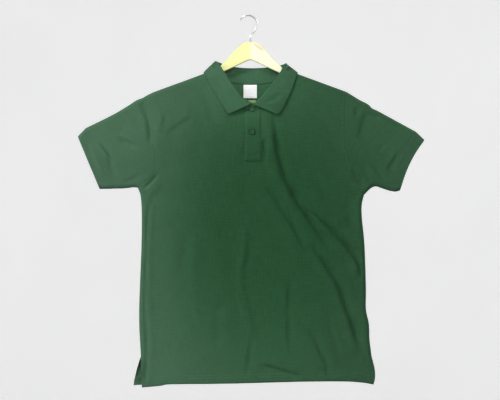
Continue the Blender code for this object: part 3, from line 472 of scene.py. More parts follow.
@dataclass
class Drape:
    """How the flat garment stands out as it hangs: folded edges, fullness, creases and seams."""

    fold_radius: float = 9.0
    fullness: float = 10.0
    reach: float = 80.0
    crease_clear: float = 22.0
    ripple: float = 0.13
    groove: float = 0.5
    seed: int = 11
    step: float = 4.0
    probe: float = 0.5
    hem_band: float = 22.0
    hem_roll: float = 1.7
    hem_rows: Point = (14.5, 20.5)
    fold_angles: tuple[float, ...] = (18.0, 36.0, 54.0, 72.0, 90.0)
    closing: list[Array] = field(init=False)
    seams: list[Array] = field(init=False)
    waves: Array = field(init=False)

    def __post_init__(self) -> None:
        """Works out the closing edges, the seams and the small ripples."""
        low = ("cuff_under", "underarm", "side", "vent_line")
        top = ("shoulder", "sleeve_top", "cuff_top")
        self.closing = [self.joined(LEFT, low), self.joined(RIGHT, low)[::-1],
                        self.joined(LEFT, top), self.joined(RIGHT, top)[::-1]]
        self.seams = [self.curve(route) for edges in (LEFT, RIGHT)
                      for route in (edges.armhole, edges.cuff_seam)]
        rng = np.random.default_rng(self.seed)
        turn, length = rng.uniform(0.0, math.pi, 14), rng.uniform(24.0, 95.0, 14)
        self.waves = np.column_stack([
            np.cos(turn) * 2 * math.pi / length, np.sin(turn) * 2 * math.pi / length,
            rng.uniform(0.0, 2 * math.pi, 14), length / 60.0])

    def curve(self, route: Route) -> Array:
        """A route's smooth curve in the drape's own steps."""
        return smooth_curve(route, self.step)

    def joined(self, edges: Edges, names: tuple[str, ...]) -> Array:
        """Several edges of one side as one path."""
        parts = [self.curve(getattr(edges, name)) for name in names]
        return np.vstack([parts[0]] + [part[1:] for part in parts[1:]])

    @property
    def rows(self) -> Array:
        """Distances from a fold at which a piece has rows of points."""
        return self.fold_radius * (1.0 - np.cos(np.radians(self.fold_angles)))

    @property
    def spare(self) -> float:
        """How much more cloth a fold's round takes up than its flat width."""
        return (math.pi / 2 - 1) * self.fold_radius

    def seam_path(self, route: Route) -> Array:
        """A seam's points, with one at the depth of each fold row near an end that lies on a fold.

        Args:
            route: The seam's route.

        Returns:
            The points.
        """
        fine = smooth_curve(route, 0.4)
        marks, distance = travelled(fine), self.edge(fine)[0]
        first = self.row_marks(marks, distance)
        last = marks[-1] - self.row_marks(marks[-1] - marks[::-1], distance[::-1])[::-1]
        start = first[-1] if len(first) else 0.0
        end = last[0] if len(last) else marks[-1]
        even = np.linspace(start, end, max(1, round((end - start) / self.step)) + 1)
        every = np.concatenate([[0.0], first, even, last, [marks[-1]]])
        return along(fine, np.unique(np.round(every, 6)))

    def row_marks(self, marks: Array, distance: Array) -> Array:
        """How far along a path it reaches the depth of each fold row, if it starts on a fold.

        Args:
            marks: Distances along the path.
            distance: The path's distance from the closing edges at each mark.

        Returns:
            A distance along the path for each row it reaches.
        """
        if distance[0] > 0.5:
            return np.zeros(0)
        grown = np.maximum.accumulate(distance[marks < 60.0])
        return np.interp(self.rows[self.rows < grown[-1]], grown, marks[marks < 60.0])

    def edge(self, points: Array) -> tuple[Array, Array]:
        """Blended distance from the edges where front and back close.

        Args:
            points: Flat points.

        Returns:
            The distance of each point, negative outside, and the unit vector inwards.
        """
        signed, inward = [], []
        for path in self.closing:
            normals = left_normals(path)
            gap, foot, i, t = nearest_on(path, points)
            normal = unit(normals[i] * (1 - t)[:, None] + normals[i + 1] * t[:, None])
            away = (points - foot) / np.maximum(gap, 1e-9)[:, None]
            ended = ((i == 0) & (t <= 0.0)) | ((i == len(path) - 2) & (t >= 1.0))
            side = np.where(ended | (np.sum(away * normal, axis=1) > 0) | (gap < 1e-4), 1.0, -1.0)
            trust = np.clip(gap / 0.8, 0.0, 1.0)[:, None]
            signed.append(gap * side)
            inward.append(unit((1 - trust) * normal + trust * away * side[:, None]))
        signed, inward = np.array(signed), np.array(inward)
        best, every = np.argmin(np.abs(signed), axis=0), np.arange(len(points))
        distance, direction = signed[best, every], inward[best, every]
        near = np.maximum(np.abs(signed), 1e-3)
        weights = near ** -3.0
        blended = np.sum(weights, axis=0) ** (-1.0 / 3.0)
        mixed = unit(np.sum((weights * blended / near)[..., None] * inward, axis=0))
        far = distance > self.fold_radius / 4.0
        return np.where(far, blended, distance), np.where(far[:, None], mixed, direction)

    def depth(self, distance: Array) -> Array:
        """How far the cloth's middle stands out.

        Args:
            distance: Distances from the closing edges.

        Returns:
            A depth for each distance.
        """
        turned = np.clip(distance, 0.0, self.fold_radius)
        fold = np.sqrt(np.maximum(0.0, 2 * self.fold_radius * turned - turned ** 2))
        beyond = np.maximum(0.0, distance - self.fold_radius) / self.reach
        return fold + self.fullness * (1.0 - np.exp(-beyond ** 2))

    def relief(self, points: Array, face: Face, distance: Array) -> Array:
        """Creases, ripples and seams of one face, as heights above its smooth form.

        Args:
            points: Flat points.
            face: The face they are on.
            distance: Each point's distance from the closing edges.

        Returns:
            A height for each point.
        """
        height = np.zeros(len(points))
        for crease in CREASES:
            if crease.face is face:
                height += crease.heights(points)
        flip = 1.0 if face is Face.FRONT else 1.7
        for kx, kz, phase, size in self.waves:
            height += self.ripple * size * np.sin(kx * points[:, 0] + kz * points[:, 1] + flip * phase)
        height *= eased(distance / self.crease_clear)
        inside = eased(distance / self.fold_radius)
        for path in self.seams:
            height -= self.groove * ridge(gap_to(path, points), 1.5) * inside
        return height + self.hem_relief(points, face) * inside

    def hem_relief(self, points: Array, face: Face) -> Array:
        """The hem's turned-up band: a little proud, puckered, pulled in at its stitches and at its foot.

        Args:
            points: Flat points.
            face: The face they are on.

        Returns:
            A height for each point.
        """
        found = np.zeros(len(points))
        near = points[:, 1] < -800.0
        if near.any():
            path = self.curve(HEM[face])
            gap, _, index, share = nearest_on(path, points[near])
            place = travelled(path)[index] + share * self.step
            band = eased((self.hem_band + 1.5 - gap) / 3.0)
            pucker = np.sin(place * 0.66 + 1.3 * np.sin(place / 31.0)) * np.sin(math.pi * gap / 22.0)
            pulled = sum(ridge(gap - row, 1.2) for row in self.hem_rows)
            found[near] = band * (0.35 + 0.3 * pucker) - 0.4 * pulled - self.hem_roll * ridge(gap, 2.4)
        return found

    def surface(self, points: Array, face: Face) -> tuple[Array, Array]:
        """Flat points put where the cloth's middle hangs.

        Args:
            points: Flat points.
            face: The face to put them on.

        Returns:
            The places in space, and the outward unit normals of the smooth form there.
        """
        distance, inward = self.edge(points)
        y = self.depth(distance) + self.relief(points, face, distance)
        turned = (self.fold_radius - np.clip(distance, 0.0, self.fold_radius)) / self.fold_radius
        beyond = np.maximum(0.0, distance - self.fold_radius) / self.reach
        lean = self.fullness / self.reach * 2 * beyond * np.exp(-beyond ** 2)
        across = np.where(distance < self.fold_radius, turned, lean)
        facing = np.sqrt(np.maximum(0.0, 1.0 - turned ** 2))
        return (in_space(points, face.value * y),
                unit(in_space(-inward * across[:, None], face.value * facing)))

    def lifted(self, points: Array, face: Face, lift: float) -> Array:
        """Places on the hanging cloth, moved off its middle along its real slope.

        Args:
            points: Flat points.
            face: The face they are on.
            lift: Distance off the cloth's middle.

        Returns:
            The places in space.
        """
        placed, normals = self.surface(points, face)
        tilt = [self.surface(points + side, face)[0][:, 1] - placed[:, 1] for side in self.probe * np.eye(2)]
        flat = np.abs(normals[:, 1]) > 0.7
        slope = np.column_stack([-tilt[0] / self.probe, np.ones(len(points)), -tilt[1] / self.probe])
        return placed + lift * np.where(flat[:, None], unit(slope * face.value), normals)


# ---- meshes

def vertex_normals(points: Array, faces: Array) -> Array:
    """Unit normals at the points of a surface.

    Args:
        points: The surface's points.
        faces: Its triangles or quads.

    Returns:
        A normal for each point.
    """
    corners = [points[faces[:, k]] for k in range(faces.shape[1])]
    if faces.shape[1] == 3:
        facing = np.cross(corners[1] - corners[0], corners[2] - corners[0])
    else:
        facing = np.cross(corners[2] - corners[0], corners[3] - corners[1])
    total = np.zeros_like(points)
    for k in range(faces.shape[1]):
        np.add.at(total, faces[:, k], facing)
    return unit(total)


def outward(points: Array, faces: Array, away: Array) -> tuple[Array, Array]:
    """Faces wound so that their normals point outwards.

    Args:
        points: The surface's points.
        faces: Its triangles or quads, wound either way.
        away: The way outwards at each point, or zero where it does not count.

    Returns:
        The faces, and a normal for each point.
    """
    normals = vertex_normals(points, faces)
    if np.sum(normals * away) < 0:
        return faces[:, ::-1], -normals
    return faces, normals


def surface_area(points: Array, faces: Array) -> float:
    """Area of a surface.

    Args:
        points: The surface's points.
        faces: Its triangles or quads.

    Returns:
        The area in square metres.
    """
    sides = [points[faces[:, k]] - points[faces[:, 0]] for k in range(1, faces.shape[1])]
    total = sum(np.linalg.norm(np.cross(a, b), axis=1).sum() for a, b in zip(sides, sides[1:]))
    return float(0.5 * total * MM * MM)


def linked(name: str, data: bpy.types.ID) -> Object:
    """An object in the scene, at the origin.

    Args:
        name: The object's name.
        data: Its mesh, light or camera.

    Returns:
        The object.
    """
    made = bpy.data.objects.new(name, data)
    bpy.context.scene.collection.objects.link(made)
    return made


def solid(name: str, points: Array, faces: list[list[int]], material: Material, cut: Array | None = None,
          marks: dict[str, Array] | None = None, crisp: float = 50.0) -> Object:
    """A mesh object from points in millimetres.

    Args:
        name: The piece's name.
        points: Its points.
        faces: Point indices of each face, anticlockwise from outside.
        material: Its finish.
        cut: Flat coordinates of each point in millimetres, kept as the UV map in metres.
        marks: Further numbers kept on each point.
        crisp: Angle in degrees above which an edge is shaded sharp.

    Returns:
        The object, at the origin.
    """
    mesh = bpy.data.meshes.new(name)
    mesh.from_pydata((points * MM).tolist(), [], faces)
    mesh.materials.append(material)
    if cut is not None:
        corner = np.zeros(len(mesh.loops), np.int32)
        mesh.loops.foreach_get("vertex_index", corner)
        layer = mesh.uv_layers.new(name="cut")
        layer.data.foreach_set("uv", (cut[corner] * MM).astype(np.float32).ravel())
    for key, values in (marks or {}).items():
        mark = mesh.attributes.new(key, "FLOAT", "POINT")
        mark.data.foreach_set("value", values.astype(np.float32))
    mesh.shade_smooth()
    mesh.set_sharp_from_angle(angle=math.radians(crisp))
    return linked(name, mesh)


def narrowed(half: Array | float, gap: Array) -> Array:
    """A wall's half thickness, rounded off towards an edge that is `gap` away."""
    share = 1.0 - np.clip(gap / np.asarray(half), 0.0, 1.0)
    return half * np.maximum(0.22, np.sqrt(1.0 - share ** 2))


def grid_faces(rows: int, columns: int, closed: bool = False) -> Array:
    """Quads over a grid of points.

    Args:
        rows: Rows of the grid.
        columns: Points in a row.
        closed: Whether the rows close round on themselves.

    Returns:
        Four point indices for each quad.
    """
    r, c = np.meshgrid(np.arange(rows - 1), np.arange(columns if closed else columns - 1), indexing="ij")
    a, b = r * columns + c, r * columns + (c + 1) % columns
    return np.stack([a, b, b + columns, a + columns], -1).reshape(-1, 4)


@dataclass
class Pattern:
    """A flat piece cut to an outline and finely meshed, with rows of points where it turns over."""

    drape: Drape
    outline: Array
    folds: list[Array] = field(default_factory=list)
    lanes: list[Array] = field(default_factory=list)
    step: float = 3.6
    points: Array = field(init=False)
    faces: Array = field(init=False)

    def __post_init__(self) -> None:
        """Lays the points out and joins them into triangles."""
        points = [tuple(p) for p in self.outline]
        edges = [(i, (i + 1) % len(points)) for i in range(len(points))]
        for fold in self.folds:
            for row in self.drape.rows:
                kept = moved_left(fold, row)
                kept = kept[self.clear_of_outline(kept, 0.9 * row)]
                ends = [self.seam_point(fold, end, row) for end in (fold[0], fold[-1])]
                chain = ends[:1] + list(range(len(points), len(points) + len(kept))) + ends[1:]
                points += [tuple(p) for p in kept]
                edges += [pair for pair in zip(chain, chain[1:]) if len(kept) and None not in pair]
        for lane in self.lanes:
            good = self.clear_of_outline(lane, 0.25)
            places = len(points) + np.cumsum(good) - 1
            points += [tuple(p) for p in lane[good]]
            edges += [(int(places[i]), int(places[i + 1])) for i in range(len(lane) - 1)
                      if good[i] and good[i + 1]]
        points += self.filling(points)
        while True:
            made = delaunay_2d_cdt([Vector(p) for p in points], edges, [], 1, 1e-4)
            self.points = np.array([tuple(p) for p in made[0]])
            self.faces = np.array(made[2], int)
            bridges = self.fold_bridges()
            if not len(bridges):
                break
            points += [tuple(p) for p in bridges]

    def clear_of_outline(self, points: Array, gap: float) -> Array:
        """Whether each point lies inside the outline and at least `gap` from it."""
        closed = np.vstack([self.outline, self.outline[:1]])
        return within(self.outline, points) & (gap_to(closed, points) > gap)

    def seam_point(self, fold: Array, end: Array, row: float) -> int | None:
        """Finds the outline's point at a fold row's depth near one end of the fold.

        Args:
            fold: The fold's points.
            end: The end looked near.
            row: The row's distance from the fold.

        Returns:
            The point's index, or None where there is none.
        """
        gap = gap_to(fold, self.outline)
        away = np.linalg.norm(self.outline - end, axis=1)
        off = np.abs(gap - row) + np.where((away > 4 * row + 2) | (gap < 0.2), 1e3, 0.0)
        best = int(np.argmin(off))
        return best if off[best] < 0.3 * row + 0.05 else None

    def filling(self, fixed: list[Point]) -> list[Point]:
        """An even spread of points inside the outline.

        Args:
            fixed: Points already there, which it keeps clear of.

        Returns:
            The new points.
        """
        low, high = self.outline.min(0), self.outline.max(0)
        rise = self.step * math.sqrt(3) / 2
        j, i = np.meshgrid(np.arange(1, (high[1] - low[1]) / rise),
                           np.arange((high[0] - low[0]) / self.step + 1), indexing="ij")
        grid = np.column_stack([(low[0] + (i + 0.5 * (j % 2)) * self.step).ravel(),
                                (low[1] + j * rise).ravel()])
        grid = grid[within(self.outline, grid)]
        tree = KDTree(len(fixed))
        for index, (x, z) in enumerate(fixed):
            tree.insert((x, z, 0.0), index)
        tree.balance()
        return [(x, z) for x, z in grid.tolist() if tree.find((x, z, 0.0))[2] > 0.62 * self.step]

    def on_folds(self) -> Array:
        """Whether each point lies on a fold."""
        held = {tuple(np.round(p, 3)) for fold in self.folds for p in fold}
        return np.array([key in held for key in map(tuple, np.round(self.points, 3))])

    def fold_bridges(self) -> Array:
        """Midpoints of inner edges that join two points of a fold, which would flatten its round.

        Returns:
            The midpoints.
        """
        held = self.on_folds()
        a, b = self.faces.ravel(), np.roll(self.faces, -1, axis=1).ravel()
        pairs = np.sort(np.column_stack([a, b]), axis=1)
        pairs, uses = np.unique(pairs[held[a] & held[b]], axis=0, return_counts=True)
        pairs = pairs[uses == 2]
        return 0.5 * (self.points[pairs[:, 0]] + self.points[pairs[:, 1]])


@dataclass
class Hung:
    """A flat pattern's surface as it hangs: its middle, normals, faces and flat coordinates."""

    points: Array
    normals: Array
    faces: Array
    flat: Array

    @classmethod
    def on(cls, drape: Drape, pattern: Pattern, face: Face) -> "Hung":
        """One face's surface, with real slopes inside and the fold's own normals at its edges.

        Args:
            drape: How it hangs.
            pattern: The flat piece.
            face: The face it is on.

        Returns:
            The surface.
        """
        placed, formed = drape.surface(pattern.points, face)
        faces = pattern.faces if face is Face.FRONT else pattern.faces[:, ::-1]
        share = eased((drape.edge(pattern.points)[0] - 3.0) / 5.0)[:, None]
        normals = unit((1.0 - share) * formed + share * vertex_normals(placed, faces))
        return cls(placed, normals, faces, pattern.points)

    @classmethod
    def round(cls, drape: Drape, pattern: Pattern) -> "Hung":
        """Both faces' surfaces, sharing the points of their folds.

        Args:
            drape: How they hang.
            pattern: The flat piece that both are cut as.

        Returns:
            The closed surface.
        """
        front, back = cls.on(drape, pattern, Face.FRONT), cls.on(drape, pattern, Face.BACK)
        shared = pattern.on_folds()
        index = np.where(shared, np.arange(len(shared)), len(shared) + np.cumsum(~shared) - 1)
        return cls(np.vstack([front.points, back.points[~shared]]),
                   np.vstack([front.normals, back.normals[~shared]]),
                   np.vstack([front.faces, index[back.faces]]),
                   np.vstack([pattern.points, pattern.points[~shared]]))

    def wall(self, name: str, material: Material, outer: Array | float, inner: Array | float | None = None,
             marks: dict[str, Array] | None = None) -> Object:
        """A closed wall about the surface.

        Args:
            name: The piece's name.
            material: Its finish.
            outer: How far the wall reaches outwards of each point.
            inner: How far it reaches inwards, as far as outwards if not given.
            marks: Further numbers kept on each point of both sides.

        Returns:
            The wall's object.
        """
        count, faces = len(self.points), self.faces
        outer, inner = (np.broadcast_to(side, count)[:, None]
                        for side in (outer, outer if inner is None else inner))
        a, b = faces, np.roll(faces, -1, axis=1)
        ways, back = (a * count + b).ravel(), (b * count + a).ravel()
        open_ways = ~np.isin(ways, back)
        start, end = a.ravel()[open_ways], b.ravel()[open_ways]
        rims = np.column_stack([end, start, start + count, end + count])
        every = faces.tolist() + (faces[:, ::-1] + count).tolist() + rims.tolist()
        both = np.vstack([self.points + outer * self.normals, self.points - inner * self.normals])
        doubled = {key: np.concatenate([values, values]) for key, values in (marks or {}).items()}
        return solid(name, both, every, material, np.vstack([self.flat, self.flat]), doubled)


# ---- node trees

def tinted(colour: Place, factor: float) -> Place:
    """A colour made darker or lighter."""
    return tuple(min(1.0, factor * part) for part in colour)


class Graph:
    """A node tree being built, with short calls to add its nodes and join them."""

    def __init__(self, tree: bpy.types.NodeTree) -> None:
        """Starts an empty tree."""
        self.tree = tree
        tree.nodes.clear()

    def put(self, node: Node, inputs: dict[str | int, Value]) -> None:
        """Joins or sets a node's inputs; colours are opaque.

        Args:
            node: The node.
            inputs: A socket or a value for each input, by name or number.
        """
        for key, value in inputs.items():
            socket = node.inputs[key]
            if isinstance(value, Socket):
                self.tree.links.new(value, socket)
            else:
                socket.default_value = (*value, 1.0) if socket.type == "RGBA" else value

    def add(self, kind: str, inputs: dict[str | int, Value] | None = None, **settings: Value) -> Node:
        """Adds a node.

        Args:
            kind: The node's type name.
            inputs: What its inputs are joined to or set to, by name or number.
            **settings: Its own settings.

        Returns:
            The node.
        """
        node = self.tree.nodes.new(kind)
        node.location = (220.0 * (len(self.tree.nodes) % 9), -160.0 * (len(self.tree.nodes) // 9))
        for key, value in settings.items():
            setattr(node, key, value)
        self.put(node, inputs or {})
        return node

    def sum(self, operation: str, a: Value, b: Value = 0.0, c: Value = 0.5) -> Socket:
        """The result of a sum on up to three numbers."""
        return self.add("ShaderNodeMath", {0: a, 1: b, 2: c}, operation=operation).outputs[0]

    def vector(self, operation: str, *terms: Value) -> Socket:
        """The result of a sum on vectors."""
        node = self.add("ShaderNodeVectorMath", dict(enumerate(terms)), operation=operation)
        return node.outputs["Value" if operation == "LENGTH" else "Vector"]

    def ranged(self, value: Value, low: float, high: float, start: float = 0.0, end: float = 1.0) -> Socket:
        """A number carried smoothly from one range to another."""
        return self.add("ShaderNodeMapRange", {"Value": value, "From Min": low, "From Max": high,
                                               "To Min": start, "To Max": end},
                        interpolation_type="SMOOTHSTEP").outputs[0]

    def mixed(self, share: Value, a: Value, b: Value, blend: str = "MIX") -> Socket:
        """A mix of two colours."""
        node = self.add("ShaderNodeMix", {0: share, 6: a, 7: b}, data_type="RGBA", blend_type=blend)
        return node.outputs[2]

    def noise(self, at: Value, scale: float, detail: float = 3.0, distortion: float = 0.0) -> Socket:
        """A noise's value at a place."""
        return self.add("ShaderNodeTexNoise", {"Vector": at, "Scale": scale, "Detail": detail,
                                               "Distortion": distortion}).outputs[0]

    def place(self) -> Socket:
        """Where a shaded point is on the object."""
        return self.add("ShaderNodeTexCoord").outputs["Object"]

    def cut(self) -> Socket:
        """Where a shaded point is on the piece's flat cut, in metres."""
        return self.add("ShaderNodeUVMap", uv_map="cut").outputs[0]

    def axes(self, vector: Socket) -> list[Socket]:
        """A vector's three parts."""
        return list(self.add("ShaderNodeSeparateXYZ", {0: vector}).outputs)

    def bump(self, height: Socket, distance: float) -> Socket:
        """The normal of a surface raised by a height, in millimetres at its most."""
        return self.add("ShaderNodeBump", {"Height": height, "Distance": distance * MM}).outputs[0]


@dataclass(frozen=True)
class Finish:
    """A surface finish."""

    name: str
    colour: Place

    def dress(self, graph: Graph) -> dict[str, Value]:
        """What the shader's inputs are set to or joined to."""
        raise NotImplementedError

    def toned(self, graph: Graph, share: Value, factor: float) -> Socket:
        """The colour, made darker or lighter by a share."""
        return graph.mixed(share, self.colour, tinted(self.colour, factor))

    @property
    def material(self) -> Material:
        """The finish's material, built on first use.

        Returns:
            The material.
        """
        found = bpy.data.materials.get(self.name)
        if found is None:
            found = bpy.data.materials.new(self.name)
            found.use_nodes = True
            graph = Graph(found.node_tree)
            shader = graph.add("ShaderNodeBsdfPrincipled")
            graph.add("ShaderNodeOutputMaterial", {"Surface": shader.outputs[0]})
            graph.put(shader, self.dress(graph))
        return found


@dataclass(frozen=True)
class KnitFinish(Finish):
    """Knitted or woven cloth, patterned along the cut's own coordinates."""

    knit: Knit
    pitch: float
    raised: float
    sheen: float = 0.2
    roughness: float = 0.86
    # painted sheen: a whitish haze added to the cloth's colour, growing towards the garment's edges
    painted_sheen_colour: Place = (0.040, 0.058, 0.048)

    def cells(self, graph: Graph) -> Socket:
        """The knit's or weave's repeat, as heights from -1 to 1.

        Args:
            graph: The material's tree.

        Returns:
            The height at a shaded point.
        """
        turn = 2.0 * math.pi / (self.pitch * MM)
        across, up = (graph.sum("MULTIPLY", part, turn) for part in graph.axes(graph.cut())[:2])
        if self.knit is Knit.PIQUE:
            return graph.sum("MULTIPLY", graph.sum("SINE", across), graph.sum("SINE", up))
        if self.knit is Knit.RIB:
            across = graph.sum("MULTIPLY_ADD", graph.sum("ABSOLUTE", graph.sum("SINE", across)), 1.6)
        return graph.sum("SINE", graph.sum("ADD", across, up))

    def dress(self, graph: Graph) -> dict[str, Value]:
        """Cells of the knit with painted shade in their hollows, fibre fuzz, a faint unevenness of the dye,
        and a whitish painted sheen added towards the garment's edges.

        Args:
            graph: The material's tree.

        Returns:
            The shader's inputs.
        """
        place = graph.place()
        cells, fuzz = self.cells(graph), graph.noise(place, 1500.0, 2.0)
        height = graph.sum("ADD", graph.sum("MULTIPLY_ADD", cells, 0.5), graph.sum("MULTIPLY", fuzz, 0.7))
        # painted shade: the low parts of the knit's cells are coloured darker
        tint = graph.mixed(graph.ranged(cells, -1.0, 0.6), tinted(self.colour, 0.62), self.colour)
        tint = graph.mixed(graph.ranged(fuzz, 0.45, 0.8, 0.0, 0.5), tint, tinted(self.colour, 1.22))
        wales, courses = (graph.noise(graph.vector("MULTIPLY", graph.cut(), way), 1.0, 2.0)
                          for way in ((420.0, 34.0, 1.0), (34.0, 420.0, 1.0)))
        swing = 0.03 if self.knit is Knit.TAPE else 0.16
        dye = graph.ranged(graph.sum("ADD", wales, courses), 0.65, 1.35, 1.0 - swing, 1.0 + swing)
        dye = graph.add("ShaderNodeCombineXYZ", {0: dye, 1: dye, 2: dye}).outputs[0]
        tint = graph.mixed(1.0, tint, dye, "MULTIPLY")
        # the base colour gets the painted sheen added by place on the garment
        return {"Base Color": graph.mixed(self.painted_sheen_share(graph, place), tint, self.painted_sheen_colour, "ADD"),
                "Roughness": graph.ranged(fuzz, 0.2, 0.8, self.roughness - 0.08, self.roughness + 0.08),
                "Sheen Weight": self.sheen, "Sheen Roughness": 0.45, "Sheen Tint": (0.85, 0.95, 0.90),
                "Specular IOR Level": 0.25, "Normal": graph.bump(height, self.raised)}

    def painted_sheen_share(self, graph: Graph, place: Socket) -> Socket:
        """Share of the painted sheen, a whitish haze added to the colour: none over the belly, growing to
        the shoulders, sleeves and hem, more at the left.

        Args:
            graph: The material's tree.
            place: Where the shaded point is.

        Returns:
            The share.
        """
        off = graph.vector("MULTIPLY_ADD", place, (4.2, 0.0, 3.2), (-0.16, 0.0, 1.60))
        far = graph.ranged(graph.vector("LENGTH", off), 0.35, 1.7)
        return graph.sum("MULTIPLY", far, graph.ranged(graph.axes(place)[0], -0.38, 0.2, 1.2, 0.5))


@dataclass(frozen=True)
class ThreadFinish(Finish):
    """Spun sewing thread."""

    def dress(self, graph: Graph) -> dict[str, Value]:
        """A fine twist over the thread."""
        twist = graph.noise(graph.place(), 2600.0, 2.0)
        return {"Base Color": self.toned(graph, graph.ranged(twist, 0.4, 0.7), 1.5),
                "Roughness": graph.ranged(twist, 0.3, 0.7, 0.5, 0.7), "Sheen Weight": 0.15,
                "Normal": graph.bump(twist, 0.08)}


@dataclass(frozen=True)
class WoodFinish(Finish):
    """Blond clear-lacquered wood, its two arms cut from boards of slightly different tone."""

    second: Place
    streak: Place
    slope: float
    knot_at: Place = (-0.019, 0.0, 0.0735)
    knot_turn: Place = (0.0, -math.atan2(19.0, 26.0), 0.0)
    knot_size: Point = (0.017, 0.0035)

    def dress(self, graph: Graph) -> dict[str, Value]:
        """Grain that runs down each arm, an amber streak by the hook, and a thin lacquer.

        Args:
            graph: The material's tree.

        Returns:
            The shader's inputs.
        """
        place = graph.place()
        x, y, z = graph.axes(place)
        rise = graph.sum("ADD", graph.sum("MULTIPLY", graph.sum("ABSOLUTE", x), math.sin(self.slope)),
                         graph.sum("MULTIPLY", z, math.cos(self.slope)))
        long = graph.add("ShaderNodeCombineXYZ", {1: graph.sum("MULTIPLY", y, 160.0),
                                                  2: graph.sum("MULTIPLY", rise, 160.0)}).outputs[0]
        grain, fine = graph.noise(long, 1.6, 5.0), graph.noise(long, 7.0, 2.0)
        tone = graph.mixed(graph.ranged(x, -0.004, 0.004), self.colour, self.second)
        dark = graph.mixed(1.0, tone, (0.86, 0.76, 0.55), "MULTIPLY")
        tone = graph.mixed(graph.ranged(grain, 0.5, 0.72, 0.0, 0.55), tone, dark)
        spot = graph.add("ShaderNodeMapping", {"Vector": place, "Location": self.knot_at}).outputs[0]
        spot = graph.add("ShaderNodeMapping", {"Vector": spot, "Rotation": self.knot_turn}).outputs[0]
        far = graph.sum("ADD", *(
            graph.sum("POWER", graph.sum("DIVIDE", graph.sum("ABSOLUTE", part), size), 2.0)
            for part, size in zip(graph.axes(spot)[::2], self.knot_size)))
        return {"Base Color": graph.mixed(graph.ranged(far, 1.3, 0.1, 0.0, 0.75), tone, self.streak),
                "Roughness": graph.ranged(fine, 0.3, 0.7, 0.32, 0.5), "Coat Weight": 0.25,
                "Coat Roughness": 0.25, "Normal": graph.bump(graph.sum("ADD", grain, fine), 0.12)}


@dataclass(frozen=True)
class ResinFinish(Finish):
    """Polished button resin with a faint swirl."""

    def dress(self, graph: Graph) -> dict[str, Value]:
        """A cloudy swirl, a rim coloured dark as painted shade round the button, and fine scuffs.

        Args:
            graph: The material's tree.

        Returns:
            The shader's inputs.
        """
        place = graph.place()
        swirl, scuffs = graph.noise(place, 260.0, 3.0, 1.5), graph.noise(place, 2200.0, 2.0)
        face = self.toned(graph, graph.ranged(swirl, 0.4, 0.75), 1.5)
        # painted shade: the outer rim is coloured much darker, for the shadow round the button
        rim = graph.ranged(graph.vector("LENGTH", graph.cut()), 4.5 * MM, 5.2 * MM)
        return {"Base Color": graph.mixed(rim, face, tinted(self.colour, 0.2)),
                "Roughness": graph.ranged(scuffs, 0.3, 0.75, 0.5, 0.64), "Specular IOR Level": 0.2,
                "Normal": graph.bump(scuffs, 0.02)}


@dataclass(frozen=True)
class WireFinish(Finish):
    """Bright plated wire."""

    def dress(self, graph: Graph) -> dict[str, Value]:
        """Drawn lines along the wire and a few dull patches.

        Args:
            graph: The material's tree.

        Returns:
            The shader's inputs.
        """
        place = graph.place()
        drawn, dull = graph.noise(place, 900.0), graph.noise(place, 60.0)
        return {"Base Color": self.toned(graph, graph.ranged(dull, 0.45, 0.75), 0.72),
                "Roughness": graph.ranged(drawn, 0.3, 0.7, 0.18, 0.34), "Metallic": 1.0,
                "Normal": graph.bump(drawn, 0.03)}


@dataclass(frozen=True)
class PaperFinish(Finish):
    """The studio's pale matt paper, which looks evenly lit from every side."""

    glow: float = 0.44

    def dress(self, graph: Graph) -> dict[str, Value]:
        """A very faint mottling.

        Args:
            graph: The material's tree.

        Returns:
            The shader's inputs.
        """
        tone = graph.ranged(graph.noise(graph.place(), 2.0, 2.0), 0.3, 0.7, 0.97, 1.0)
        seen = graph.add("ShaderNodeLightPath").outputs["Is Camera Ray"]
        return {"Base Color": graph.mixed(tone, BLACK, self.colour), "Roughness": 0.9,
                "Emission Color": self.colour, "Emission Strength": graph.sum("MULTIPLY", seen, self.glow)}


BLACK = (0.0, 0.0, 0.0)
PIQUE = KnitFinish("green_pique", (0.0150, 0.084, 0.0272), Knit.PIQUE, 1.5, 0.16, 0.08)
RIB = KnitFinish("green_rib", (0.0185, 0.085, 0.0320), Knit.RIB, 1.2, 0.10, 0.08)
THREAD = ThreadFinish("green_thread", (0.032, 0.108, 0.044))
BUTTON = ResinFinish("green_resin", (0.0240, 0.110, 0.0450))
# the button thread is coloured darker than the seam thread so the buttons' middles read dark: partly its own
# dark green, partly painted shade
SHADED_BUTTON_THREAD = ThreadFinish("button_thread", (0.010, 0.046, 0.018))
LABEL = KnitFinish("white_tape", (0.96, 0.96, 0.96), Knit.TAPE, 0.5, 0.05, 0.0, 0.7, BLACK)
LABEL_THREAD = ThreadFinish("white_thread", (0.78, 0.78, 0.77))
TAB_THREAD = ThreadFinish("lime_thread", (0.38, 0.48, 0.12))
TAB = KnitFinish("lime_tape", (0.31, 0.43, 0.19), Knit.TAPE, 0.5, 0.05, 0.0, 0.7, BLACK)
WOOD = WoodFinish("blond_wood", (0.70, 0.71, 0.29), (0.77, 0.77, 0.53), (0.60, 0.48, 0.18), 0.352)
WIRE = WireFinish("plated_wire", (0.74, 0.74, 0.75))
PAPER = PaperFinish("studio_paper", (0.90, 0.90, 0.90))


def applied(made: Object) -> Object:
    """An object with its modifiers' result as its plain mesh.

    Args:
        made: The object with its modifiers.

    Returns:
        The same object.
    """
    graph = bpy.context.evaluated_depsgraph_get()
    old, mesh = made.data, bpy.data.meshes.new_from_object(made.evaluated_get(graph))
    made.modifiers.clear()
    made.data = mesh
    bpy.data.meshes.remove(old)
    mesh.name = made.name
    return made


